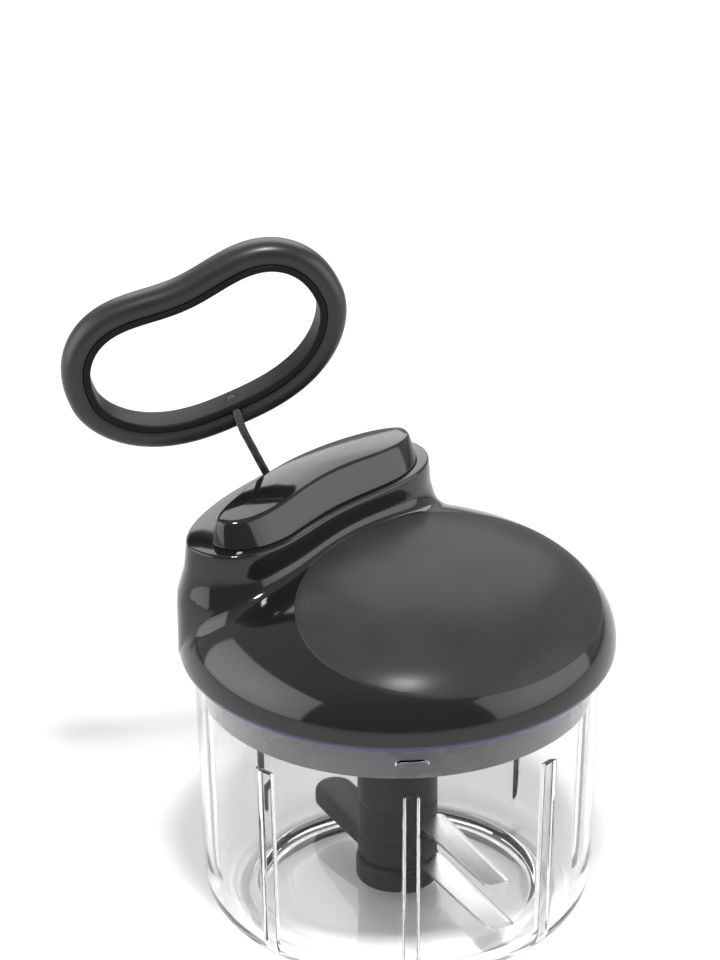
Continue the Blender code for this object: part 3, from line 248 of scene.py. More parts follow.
def ring_mesh(
    name: str, rings: Sequence[Ring], looped: bool = False, sharp: float = 40.0
) -> Mesh:
    """Joins rings of equally many points into one closed skin, its faces turned outwards.

    Args:
        name: The mesh's name.
        rings: The rings in order. A ring with one point is a pole.
        looped: Whether the last ring joins the first; otherwise a ring at an end is filled.
        sharp: The angle in degrees past which an edge stays sharp.

    Returns:
        The mesh.
    """
    count = max(len(ring) for ring in rings)
    points: list[Vector] = []
    starts = []
    for ring in rings:
        starts.append([len(points) + (index if len(ring) > 1 else 0) for index in range(count)])
        points += ring
    faces = []
    for low, high in zip(starts, starts[1:] + starts[: int(looped)]):
        for index in range(count):
            after = (index + 1) % count
            face = list(dict.fromkeys((low[index], low[after], high[after], high[index])))
            if len(face) > 2:
                faces.append(face)
    if not looped:
        faces += [ends for ends in (starts[0], starts[-1]) if len(set(ends)) > 1]
    mesh = bpy.data.meshes.new(name)
    mesh.from_pydata([tuple(place) for place in points], [], faces)
    shaper = bmesh.new()
    shaper.from_mesh(mesh)
    bmesh.ops.remove_doubles(shaper, verts=shaper.verts[:], dist=WELD_DISTANCE)
    bmesh.ops.recalc_face_normals(shaper, faces=shaper.faces[:])
    shaper.to_mesh(mesh)
    shaper.free()
    return shaded(mesh, sharp)


def turned_mesh(
    name: str,
    profile: Sequence[Pair],
    steps: int,
    centre: Vector = ORIGIN,
    sharp: float = 40.0,
) -> Mesh:
    """Turns a section of (radius, level) points about an upright line.

    Args:
        name: The mesh's name.
        profile: The section. It is closed unless it starts on the line.
        steps: Points in each ring.
        centre: Where the line stands.
        sharp: The angle in degrees past which an edge stays sharp.

    Returns:
        The mesh.
    """
    rings = []
    for radius, level in profile:
        angles = even_angles(steps if radius > 0 else 1)
        rings.append([centre + point for point in level_ring(angles, repeat(radius), level)])
    return ring_mesh(name, rings, len(rings[0]) > 1, sharp)


def linked(name: str, data: bpy.types.ID) -> Object:
    """A new object in the scene that carries the data.

    Args:
        name: The object's name.
        data: A mesh, a curve, a light or a camera.

    Returns:
        The object.
    """
    made = bpy.data.objects.new(name, data)
    bpy.context.scene.collection.objects.link(made)
    return made


def set_piece(name: str, mesh: Mesh, body: str, finish: Finish, *nodes: str) -> None:
    """Puts a finished piece in the scene on its body, in place of CAD nodes.

    Args:
        name: The piece's name.
        mesh: Its mesh, in the frame's axes.
        body: The CAD body that it moves with.
        finish: Its finish.
        *nodes: The CAD nodes that it stands for.
    """
    piece = linked(name, mesh)
    mesh.materials.clear()
    mesh.materials.append(finish.material)
    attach(piece, body)
    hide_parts(*nodes)
    LOG.info("%s rides on %s with %d faces", name, body, len(mesh.polygons))


def baked(piece: Object) -> Mesh:
    """The piece's mesh with its modifiers worked in; the piece itself is taken away.

    Args:
        piece: An object with live modifiers.

    Returns:
        A plain mesh.
    """
    bpy.context.view_layer.update()
    ready = piece.evaluated_get(bpy.context.evaluated_depsgraph_get())
    mesh = bpy.data.meshes.new_from_object(ready)
    bpy.data.objects.remove(piece, do_unlink=True)
    return mesh


def hollowed(mesh: Mesh, cutters: Sequence[Mesh], sharp: float = 35.0) -> Mesh:
    """Cuts solids out of a mesh.

    Args:
        mesh: What is cut.
        cutters: The solids to take away.
        sharp: The angle in degrees past which an edge stays sharp.

    Returns:
        The cut mesh.
    """
    piece = linked(mesh.name, mesh)
    helpers = [linked(cutter.name, cutter) for cutter in cutters]
    for helper in helpers:
        modifier = piece.modifiers.new(helper.name, "BOOLEAN")
        modifier.operation = "DIFFERENCE"
        modifier.solver = "EXACT"
        modifier.object = helper
    result = baked(piece)
    for helper in helpers:
        bpy.data.objects.remove(helper, do_unlink=True)
    return shaded(result, sharp)


# Nodes and finishes


class NodeWriter:
    """Writes nodes and their links into a tree."""

    def __init__(self, tree: bpy.types.NodeTree) -> None:
        """Takes the tree to write in."""
        self.tree = tree

    def feed(self, socket: Socket, value: object) -> None:
        """Links an input to another node's output, or gives it a plain value.

        Args:
            socket: The input.
            value: The output or the plain value.
        """
        if isinstance(value, Socket):
            self.tree.links.new(value, socket)
        else:
            socket.default_value = value

    def node(self, kind: str, **values: object) -> bpy.types.Node:
        """Adds a node.

        Args:
            kind: The node's type name.
            **values: Properties, or values or sources of its inputs by name with _ for spaces.

        Returns:
            The node.
        """
        made = self.tree.nodes.new(kind)
        for name, value in values.items():
            if hasattr(made, name):
                setattr(made, name, value)
            else:
                self.feed(made.inputs[name.replace("_", " ")], value)
        return made

    def maths(
        self, operation: str, first: object, second: object, kind: str = "ShaderNodeMath"
    ) -> Socket:
        """Works a sum on two values or sockets.

        Args:
            operation: The sum's name.
            first: Its first value.
            second: Its second value.
            kind: The type name of the node that works it.

        Returns:
            The result.
        """
        made = self.node(kind, operation=operation)
        for socket, value in zip(made.inputs, (first, second)):
            self.feed(socket, value)
        return made.outputs["Value"]

    def ranged(self, value: Socket, given: Pair, wanted: Pair, way: str = "LINEAR") -> Socket:
        """The value mapped from one range to another and held there.

        Args:
            value: What is mapped.
            given: The range that it comes in.
            wanted: The range that it goes to.
            way: How it runs between the ends.

        Returns:
            The result.
        """
        ends = dict(zip(("From_Min", "From_Max", "To_Min", "To_Max"), (*given, *wanted)))
        made = self.node("ShaderNodeMapRange", interpolation_type=way, Value=value, **ends)
        return made.outputs["Result"]

    def ramp(self, value: Socket, places: Pair, colours: Sequence[Colour]) -> Socket:
        """A colour that runs from one to another with a value.

        Args:
            value: What the colour follows.
            places: The values where the run starts and ends.
            colours: The colours there.

        Returns:
            The colour.
        """
        made = self.node("ShaderNodeValToRGB", Fac=value)
        for stop, position, colour in zip(made.color_ramp.elements, places, colours):
            stop.position = position
            stop.color = (*colour, 1)
        return made.outputs["Color"]


class ShaderWriter(NodeWriter):
    """Writes one material's nodes round its Principled shader."""

    middle_range: Pair = (0.3, 0.7)

    def __init__(self, name: str) -> None:
        """Starts a material that reads its patterns from the object's own coordinates.

        Args:
            name: The material's name.
        """
        self.material = bpy.data.materials.new(name)
        self.material.use_nodes = True
        super().__init__(self.material.node_tree)
        self.shader = self.tree.nodes["Principled BSDF"]
        self.output = self.tree.nodes["Material Output"]
        self.coordinates = self.node("ShaderNodeTexCoord").outputs["Object"]

    def pattern(
        self, size: float, detail: float = 4.0, stretch: Vector = Vector((1, 1, 1)), turn: float = 0
    ) -> Socket:
        """A noise pattern on the object.

        Args:
            size: The pattern's grain, in metres.
            detail: How many finer layers it has.
            stretch: How much longer its grain is along each axis.
            turn: The grain's turn about Z, in degrees.

        Returns:
            The pattern's value.
        """
        mapping = self.node("ShaderNodeMapping", vector_type="TEXTURE", Scale=stretch * size)
        self.feed(mapping.inputs["Rotation"], (0, 0, math.radians(turn)))
        self.feed(mapping.inputs["Vector"], self.coordinates)
        noise = self.node("ShaderNodeTexNoise", Scale=1.0, Detail=detail)
        self.feed(noise.inputs["Vector"], mapping.outputs["Vector"])
        return noise.outputs["Fac"]

    def cover(self, finish: Surface, tone: Socket, gloss: Socket, facing: Socket) -> None:
        """Gives the shader its colour and gloss, which wander with two patterns, and its relief.

        Args:
            finish: What is written.
            tone: The pattern that its colour follows.
            gloss: The pattern that its roughness follows.
            facing: The surface's direction.
        """
        shares = (1 - finish.tone_spread, 1 + finish.tone_spread)
        tints = [tuple(part * share for part in finish.colour) for share in shares]
        rough = (finish.roughness - finish.gloss_spread, finish.roughness + finish.gloss_spread)
        self.settle(
            Base_Color=self.ramp(tone, self.middle_range, tints),
            Roughness=self.ranged(gloss, self.middle_range, rough),
            Normal=facing,
        )

    def relief(
        self, value: Socket, depth: float, strength: float, below: Socket | None = None
    ) -> Socket:
        """Raises a pattern on the surface.

        Args:
            value: The pattern.
            depth: Its height, in metres.
            strength: How strongly it shows.
            below: A relief that this one lies on.

        Returns:
            The surface's direction.
        """
        bump = self.node("ShaderNodeBump", Height=value, Strength=strength, Distance=depth)
        if below is not None:
            self.feed(bump.inputs["Normal"], below)
        return bump.outputs["Normal"]

    def settle(self, **values: object) -> None:
        """Sets or links the shader's own sockets, by name with _ for spaces."""
        for name, value in values.items():
            self.feed(self.shader.inputs[name.replace("_", " ")], value)


@dataclass(frozen=True)
class Surface:
    """What every finish has: name, colour, roughness, and how far the last two wander."""

    name: str
    colour: Colour
    roughness: float
    gloss_spread: float = 0.03
    tone_spread: float = field(default=0.12, kw_only=True)


@dataclass(frozen=True)
class Moulded(Surface):
    """Moulded plastic or rubber: a wandering tone, uneven gloss and a fine grain."""

    grain: float = 0.0006
    grain_depth: float = 0.00002
    grain_strength: float = 0.3
    wave_strength: float = 0.0
    coat: float = 0.0
    specular: float = 0.5
    coat_roughness: float = 0.04
    tone_grain: float = 0.018
    wave_grain: float = 0.009
    wave_depth: float = 0.0002

    def material(self) -> Material:
        """Writes the finish as a Blender material.

        Returns:
            The material.
        """
        writer = ShaderWriter(self.name)
        broad = writer.pattern(self.tone_grain)
        fine = writer.pattern(self.grain, detail=3.0)
        facing = writer.relief(fine, self.grain_depth, self.grain_strength)
        if self.wave_strength:
            wave = writer.pattern(self.wave_grain, detail=1.0)
            facing = writer.relief(wave, self.wave_depth, self.wave_strength, facing)
        writer.cover(self, broad, broad, facing)
        writer.settle(Specular_IOR_Level=self.specular)
        if self.coat:
            weight, roughness = self.coat, self.coat_roughness
            writer.settle(Coat_Weight=weight, Coat_Roughness=roughness, Coat_Normal=facing)
        return writer.material


@dataclass(frozen=True)
class Metal(Surface):
    """Bare metal with fine lines from grinding or turning."""

    tone_spread: float = field(default=0.05, kw_only=True)
    tone_grain: float = 0.008
    line_width: float = 0.00012
    line_stretch: float = 30.0
    line_depth: float = 0.00001
    line_strength: float = 0.12
    turn: float = 0.0

    def material(self) -> Material:
        """Writes the finish as a Blender material.

        Returns:
            The material.
        """
        writer = ShaderWriter(self.name)
        stretch = Vector((self.line_stretch, 1, self.line_stretch))
        lines = writer.pattern(self.line_width, detail=2.0, stretch=stretch, turn=self.turn)
        facing = writer.relief(lines, self.line_depth, self.line_strength)
        writer.cover(self, writer.pattern(self.tone_grain), lines, facing)
        writer.settle(Metallic=1.0)
        return writer.material


@dataclass(frozen=True)
class Clear(Surface):
    """Clear moulded plastic, which lets light through to what stands behind it."""

    shadow: Colour = (0.97, 0.972, 0.974)
    ior: float = 1.47
    glint: float = 0.3
    body_colour: Colour = (0.50, 0.51, 0.53)
    body_density: float = 34.0
    haze_grain: float = 0.012
    wave_grain: float = 0.014
    wave_depth: float = 0.0001
    wave_strength: float = 0.15

    def material(self) -> Material:
        """Writes the finish as a Blender material.

        Returns:
            The material.
        """
        writer = ShaderWriter(self.name)
        haze = writer.pattern(self.haze_grain)
        wave = writer.pattern(self.wave_grain, detail=1.0)
        writer.cover(self, haze, haze, writer.relief(wave, self.wave_depth, self.wave_strength))
        glint = (self.glint, self.glint, self.glint, 1)
        writer.settle(Transmission_Weight=1.0, IOR=self.ior, Specular_Tint=glint)
        shadow = writer.node("ShaderNodeLightPath").outputs["Is Shadow Ray"]
        passing = writer.node("ShaderNodeBsdfTransparent", Color=(*self.shadow, 1))
        mix = writer.node("ShaderNodeMixShader", Fac=shadow)
        body = writer.node("ShaderNodeVolumeAbsorption", Density=self.body_density)
        writer.feed(body.inputs["Color"], (*self.body_colour, 1))
        writer.feed(mix.inputs[1], writer.shader.outputs["BSDF"])
        writer.feed(mix.inputs[2], passing.outputs["BSDF"])
        writer.feed(writer.output.inputs["Surface"], mix.outputs["Shader"])
        writer.feed(writer.output.inputs["Volume"], body.outputs["Volume"])
        return writer.material


@dataclass(frozen=True)
class Yarn(Surface):
    """Dull braided yarn with a soft sheen and loose fibres."""

    grain: float = 0.00012
    depth: float = 0.00006
    strength: float = 0.6
    sheen: float = 0.5
    sheen_roughness: float = 0.35

    def material(self) -> Material:
        """Writes the finish as a Blender material.

        Returns:
            The material.
        """
        writer = ShaderWriter(self.name)
        fibre = writer.pattern(self.grain, detail=3.0)
        writer.cover(self, fibre, fibre, writer.relief(fibre, self.depth, self.strength))
        writer.settle(Sheen_Weight=self.sheen, Sheen_Roughness=self.sheen_roughness)
        return writer.material


SHARED_SLOTS = {
    # The band's painted-shade copy shares the satin black's slot.
    "band_black": "satin_black",
    "skirt_grey": "dark_grey_plastic",
    "turned_steel": "polished_steel",
}


class Finish(Enum):
    """The object's finishes, one for each kind of surface."""

    CLEAR = Clear("clear_plastic", (0.982, 0.983, 0.984), 0.02, 0.01, tone_spread=0.01)
    GLOSS = Moulded(
        "gloss_black", (0.009, 0.009, 0.010), 0.09, 0.012, 0.0015, 0.00001, 0.05, wave_strength=0.03
    )
    # Painted reflection: a violet tint for the light that the clear bowl's rim catches, painted on
    # the lid's lowest faces.
    RIM = Moulded("rim_violet", (0.050, 0.045, 0.17), 0.16, 0.02, 0.0015, 0.00001, 0.05)
    PAD = Moulded(
        "matte_black",
        (0.036, 0.036, 0.037),
        0.60,
        grain=0.00042,
        grain_depth=0.00003,
        grain_strength=0.7,
        coat=0.24,
        specular=0.02,
        coat_roughness=0.26,
    )
    SATIN = Moulded("satin_black", (0.013, 0.013, 0.014), 0.36, 0.04, 0.0004, 0.00002, 0.2)
    # Painted shade: a darker copy of the grip's satin black, so that the band's inner face looks
    # shaded.
    BAND = Moulded(
        "band_black", (0.006, 0.006, 0.007), 0.42, 0.04, 0.0004, 0.00002, 0.2, specular=0.15
    )
    DARK = Moulded(
        "dark_grey_plastic", (0.005, 0.005, 0.006), 0.42, 0.02, 0.0020, 0.00001, 0.03, specular=0.1
    )
    SKIRT = Moulded("skirt_grey", (0.125, 0.125, 0.129), 0.28, 0.03, 0.0005, 0.00001, 0.05)
    BLADE = Metal(
        "polished_steel", (0.56, 0.56, 0.55), 0.30, 0.036, line_strength=0.02, turn=BLADE_TURN
    )
    STEEL = Metal("turned_steel", (0.66, 0.66, 0.65), 0.22, 0.088)
    BRASS = Metal("brass", (0.72, 0.53, 0.25), 0.25, 0.10)
    CORD = Yarn("black_cord", (0.026, 0.026, 0.027), 0.72, 0.08, tone_spread=0.45)
    RUBBER = Moulded("seal_rubber", (0.035, 0.035, 0.037), 0.62, 0.05, 0.0008, 0.00003, 0.3)
    ACETAL = Moulded("white_acetal", (0.74, 0.74, 0.71), 0.38, 0.04, 0.0009, 0.00002, 0.2)

    @property
    def slot(self) -> str:
        """The record's material slot that the finish dresses."""
        return SHARED_SLOTS.get(self.value.name, self.value.name)

    @property
    def material(self) -> Material:
        """The finish's material, written the first time that it is asked for.

        Returns:
            The material.
        """
        found = bpy.data.materials.get(f"finish_{self.value.name}")
        if found is None:
            found = self.value.material()
            found.name = f"finish_{self.value.name}"
        return found


# Node trees for what repeats or follows a path


class ShapeTree(NodeWriter):
    """A Geometry Nodes tree with named sizes, which ends in real faces with a material."""

    def __init__(self, name: str, material: Material) -> None:
        """Starts a tree that takes a shape in and gives a mesh out.

        Args:
            name: The tree's name.
            material: What its faces are made of.
        """
        super().__init__(bpy.data.node_groups.new(name, "GeometryNodeTree"))
        for way in ("INPUT", "OUTPUT"):
            self.tree.interface.new_socket("Geometry", in_out=way, socket_type="NodeSocketGeometry")
        self.given = self.tree.nodes.new("NodeGroupInput")
        self.sizes: dict[str, float] = {}
        self.material = material

    def size(self, name: str, value: float, whole: bool = False) -> Socket:
        """Adds a named size to the tree's inputs.

        Args:
            name: The size's name.
            value: What it is on this object.
            whole: Whether it is a count.

        Returns:
            The size inside the tree.
        """
        kind = "NodeSocketInt" if whole else "NodeSocketFloat"
        socket = self.tree.interface.new_socket(name, in_out="INPUT", socket_type=kind)
        self.sizes[socket.identifier] = value
        return self.given.outputs[name]

    def close(self, shape: Socket) -> None:
        """Makes the shape's copies real, gives them the material and ends the tree.

        Args:
            shape: What the tree's nodes have made.
        """
        real = self.node("GeometryNodeRealizeInstances", Geometry=shape).outputs["Geometry"]
        coloured = self.node("GeometryNodeSetMaterial", Geometry=real, Material=self.material)
        self.node("NodeGroupOutput", Geometry=coloured.outputs["Geometry"])

    def run(self, data: bpy.types.ID) -> Mesh:
        """Runs the tree on a mesh or a curve.

        Args:
            data: What goes in.

        Returns:
            The finished mesh.
        """
        carrier = linked(self.tree.name, data)
        modifier = carrier.modifiers.new(self.tree.name, "NODES")
        modifier.node_group = self.tree
        for identifier, value in self.sizes.items():
            modifier[identifier] = value
        return baked(carrier)


# The studio


@dataclass(frozen=True)
class Softbox:
    """One square or oblong light, aimed at the object's middle."""

    name: str
    place: Vector
    width: float
    height: float
    power: float
    spread: float = 180.0
    aim: Vector = Vector((0, 0, 0.09))

    def hang(self) -> None:
        """Puts the light in the scene."""
        light = bpy.data.lights.new(self.name, "AREA")
        light.shape = "RECTANGLE"
        light.size = self.width
        light.size_y = self.height
        light.energy = self.power
        light.spread = math.radians(self.spread)
        holder = linked(self.name, light)
        holder.location = self.place
        holder.visible_camera = False
        holder.rotation_euler = (self.aim - self.place).to_track_quat("-Z", "Y").to_euler()


@dataclass
class Studio:
    """Camera, pale floor, white surround and soft lights."""

    camera_place: Vector = Vector((-0.7639, -0.6410, 0.6287))
    camera_tilt: float = 63.68
    camera_turn: float = -50.0
    focal_length_mm: float = 147.4
    sensor_mm: float = 36.0
    picture_width_px: int = 720
    picture_height_px: int = 960
    middle_px: float = 397.5
    floor_reach: float = 6.0
    floor_tone: float = 0.90
    floor_shade: float = 0.40
    floor_in_gloss: float = 0.8
    floor_roughness: float = 0.9
    floor_specular: float = 0.1
    surround: float = 0.28
    surround_in_gloss: float = 0.38
    backdrop_edges: Pair = (-0.85, -0.25)
    clear_edges: Pair = (0.0, 0.6)
    clip_end: float = 30.0
    softboxes: tuple[Softbox, ...] = (
        Softbox("left", Vector((-0.66, 0.54, 0.36)), 1.20, 0.72, 3.6, 120.0),
        Softbox("right", Vector((0.42, -0.74, 0.37)), 1.15, 0.74, 2.5, 120.0),
        Softbox("back", Vector((0.86, 0.72, 0.80)), 1.15, 0.85, 6.6),
        Softbox("key", Vector((-0.35, -0.38, 1.38)), 0.20, 0.20, 16.0),
    )

    def set_camera(self) -> None:
        """Stands the camera where the photograph was taken from."""
        data = bpy.data.cameras.new("camera")
        data.lens = self.focal_length_mm
        data.sensor_width = self.sensor_mm
        data.shift_x = (self.picture_width_px / 2 - self.middle_px) / self.picture_height_px
        data.clip_end = self.clip_end
        camera = linked("camera", data)
        camera.location = self.camera_place
        camera.rotation_euler = (math.radians(self.camera_tilt), 0, math.radians(self.camera_turn))
        bpy.context.scene.camera = camera

    def lay_floor(self) -> None:
        """Lays a pale, matt floor under the bowl."""
        reach = self.floor_reach
        corners = [(-reach, -reach, 0), (reach, -reach, 0), (reach, reach, 0), (-reach, reach, 0)]
        mesh = bpy.data.meshes.new("floor")
        mesh.from_pydata(corners, [], [[0, 1, 2, 3]])
        floor = linked("floor", mesh)
        writer = ShaderWriter("pale_floor")
        rays = writer.node("ShaderNodeLightPath").outputs
        seen = writer.maths("MULTIPLY", rays["Is Glossy Ray"], self.floor_in_gloss)
        for ray in ("Is Camera Ray", "Is Transmission Ray"):
            seen = writer.maths("MAXIMUM", rays[ray], seen)
        tones = [(tone, tone, tone) for tone in (self.floor_shade, self.floor_tone)]
        colour = writer.ramp(seen, (0, 1), tones)
        roughness, specular = self.floor_roughness, self.floor_specular
        writer.settle(Base_Color=colour, Roughness=roughness, Specular_IOR_Level=specular)
        mesh.materials.append(writer.material)

    def set_surround(self) -> None:
        """Makes the surround white to the eye and in gloss, but dim behind the camera's place."""
        world = bpy.data.worlds.new("surround")
        bpy.context.scene.world = world
        world.use_nodes = True
        writer = NodeWriter(world.node_tree)
        rays = writer.node("ShaderNodeLightPath").outputs
        looked = writer.node("ShaderNodeTexCoord").outputs["Generated"]
        ahead = -Vector((self.camera_place.x, self.camera_place.y, 0)).normalized()
        way = writer.maths("DOT_PRODUCT", looked, ahead, "ShaderNodeVectorMath")
        seen = rays["Is Camera Ray"]
        for ray, edges, most in (
            ("Is Glossy Ray", self.backdrop_edges, self.surround_in_gloss),
            ("Is Transmission Ray", self.clear_edges, 1.0),
        ):
            backdrop = writer.ranged(way, edges, (0, most), "SMOOTHSTEP")
            seen = writer.maths("MAXIMUM", seen, writer.maths("MULTIPLY", rays[ray], backdrop))
        background = world.node_tree.nodes["Background"]
        background.inputs["Color"].default_value = (1, 1, 1, 1)
        strength = writer.ranged(seen, (0, 1), (self.surround, 1))
        writer.feed(background.inputs["Strength"], strength)
        bpy.context.scene.view_settings.view_transform = "Standard"

    def set_up(self) -> None:
        """Puts up floor, surround and lights."""
        self.lay_floor()
        self.set_surround()
        for softbox in self.softboxes:
            softbox.hang()
        LOG.info("studio with %d lights", len(self.softboxes))


# Sizes that several sub-assemblies share


@dataclass(frozen=True)
class Rim:
    """Where the bowl ends and the lid begins."""

    bowl_height: float = 0.085
    bowl_top_radius: float = 0.059
    bowl_base_radius: float = 0.0569
    bowl_wall: float = 0.0022
    gap: float = 0.0003
    turn: float = -1.0

    def bowl_radius(self, level: float) -> float:
        """The bowl's outer radius at a level, on its leaning wall."""
        return blended(self.bowl_base_radius, self.bowl_top_radius, level / self.bowl_height)


@dataclass(frozen=True)
class Dome:
    """The lid's steep-sided, flat-topped dome."""

    radius: float = 0.0632
    widest_level: float = 0.0851
    top_level: float = 0.1120
    radius_power: float = 2.72
    height_power: float = 2.09

    def level(self, radius: float, inset: float = 0.0) -> float:
        """Height of the dome's face, or of a face set in by a wall, at a radius.

        Args:
            radius: Distance from the bowl's axis.
            inset: How far the face is set in.

        Returns:
            The level.
        """
        share = min(1.0, radius / (self.radius - inset))
        rise = (1 - share**self.radius_power) ** (1 / self.height_power)
        return self.widest_level + (self.top_level - inset - self.widest_level) * rise

    def on_face(self, place: Vector, lift: float = 0.0) -> Vector:
        """The point of the dome's face above or below a place, raised by a lift."""
        radius = math.hypot(place.x, place.y)
        return Vector((place.x, place.y, self.level(radius) + lift))


@dataclass(frozen=True)
class Kidney:
    """The island's outline: round ends, a full far side and a waisted near side."""

    half_length: float
    near: float
    far: float
    dip: float
    near_power: float = 0.8
    far_power: float = 0.8

    @property
    def centre(self) -> Vector:
        """The outline's middle."""
        return Vector((0, (self.near + self.far) / 2, 0))

    def point(self, turn: float) -> Vector:
        """A point of the outline.

        Args:
            turn: Its place round the outline, in radians from the +X end.

        Returns:
            The point, on the plane z = 0.
        """
        along, across = math.cos(turn), math.sin(turn)
        power = self.far_power if across > 0 else self.near_power
        x = self.half_length * power_of(along, power)
        y = self.centre.y + (self.far - self.near) / 2 * power_of(across, power)
        if across < 0:
            y += self.dip / 2 * math.cos(math.pi * x / self.half_length) * -across
        return Vector((x, y, 0))

    def outline(self, count: int) -> list[Vector]:
        """The outline's points at even turns."""
        return [self.point(turn) for turn in even_angles(count)]


RIM = Rim()
DOME = Dome()
LEDGE = Kidney(0.0470, 0.0168, 0.0530, 0.0061, far_power=1.0)
LEDGE_LEVEL = 0.1200
EYELET_MOUTH = Vector((-0.0010, 0.0486, 0.1210))


# Sub-assemblies


@dataclass
class PullCord:
    """The braided cord between the lid's eyelet and the knot in the handle."""

    route: tuple[tuple[float, float, float], ...] = (
        (-0.0085, 0.0045, 0.0246),
        (-0.0105, 0.0018, 0.0239),
        (-0.0117, 0.0000, 0.0229),
        (-0.0121, -0.0014, 0.0212),
        (-0.0117, -0.0022, 0.0191),
        (-0.0105, -0.0023, 0.0169),
        (-0.0076, -0.0017, 0.0124),
        (-0.0047, -0.0010, 0.0080),
        (-0.0022, -0.0004, 0.0043),
        (-0.0006, -0.0001, 0.0016),
        (0.0000, 0.0000, -0.0006),
    )
    path_spans: int = 12
    radius: float = 0.00118
    length: float = 0.0335
    points: int = 48
    strands: int = 6
    strand_radius: float = 0.00034
    core_share: float = 0.72
    turns: float = 5.2
    strand_sides: int = 7
    core_sides: int = 16
    steps_along: int = 150

    def path(self) -> list[Vector]:
        """The cord's middle line from the eyelet up to the knot.

        Returns:
            Its points, evenly spaced.
        """
        places = [EYELET_MOUTH + Vector(place) for place in reversed(self.route)]
        run = smooth_run(places, self.path_spans)
        return spaced(run, gaps(run), self.points - 1)

    def line(self, path: Sequence[Vector]) -> bpy.types.Curve:
        """A bare curve on the path.

        Args:
            path: The cord's middle line.

        Returns:
            The curve.
        """
        curve = bpy.data.curves.new("cord_line", "CURVE")
        curve.dimensions = "3D"
        spline = curve.splines.new("POLY")
        spline.points.add(len(path) - 1)
        for point, where in zip(spline.points, path):
            point.co = (*where, 1)
        return curve

    def braid(self, path: Sequence[Vector]) -> Mesh:
        """Lays strands both ways round a core, along the path.

        Args:
            path: The cord's middle line.

        Returns:
            The braid's mesh.
        """
        tree = ShapeTree("cord_braid", Finish.CORD.material)
        strands = tree.size("Strands", self.strands, whole=True)
        thick = tree.size("Strand Radius", self.strand_radius)
        lay = tree.size("Lay Radius", self.radius - self.strand_radius)
        core_radius = tree.size("Core Radius", (self.radius - self.strand_radius) * self.core_share)
        turns = tree.size("Turns", self.turns)
        curve = tree.given.outputs["Geometry"]
        spine = tree.node("GeometryNodeResampleCurve", Curve=curve, Count=self.steps_along)
        spine = spine.outputs["Curve"]
        posts = tree.node("GeometryNodeMeshCircle", Vertices=strands, Radius=lay).outputs["Mesh"]
        circle = "GeometryNodeCurvePrimitiveCircle"
        yarn = tree.node(circle, Resolution=self.strand_sides, Radius=thick).outputs["Curve"]
        around = tree.node("GeometryNodeInstanceOnPoints", Points=posts, Instance=yarn)
        yarns = tree.node("GeometryNodeRealizeInstances", Geometry=around.outputs["Instances"])
        along = tree.node("GeometryNodeSplineParameter").outputs["Factor"]
        layers = []
        for way in (1, -1):
            angle = tree.maths("MULTIPLY", tree.maths("MULTIPLY", along, turns), way * math.tau)
            twisted = tree.node("GeometryNodeSetCurveTilt", Curve=spine, Tilt=angle)
            layers.append((twisted.outputs["Curve"], yarns.outputs["Geometry"]))
        core = tree.node(circle, Resolution=self.core_sides, Radius=core_radius)
        layers.append((spine, core.outputs["Curve"]))
        joined = tree.node("GeometryNodeJoinGeometry")
        for line, section in layers:
            sleeve = tree.node(
                "GeometryNodeCurveToMesh", Curve=line, Profile_Curve=section, Fill_Caps=True
            )
            tree.feed(joined.inputs["Geometry"], sleeve.outputs["Mesh"])
        tree.close(joined.outputs["Geometry"])
        return shaded(tree.run(self.line(path)), sharp=60)

    def build(self) -> None:
        path = self.path()
        piece = linked("pull_cord_braid", self.braid(path))
        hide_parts("pull_cord")
        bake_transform(piece)
        LOG.info("pull cord laid along %d points", len(path))


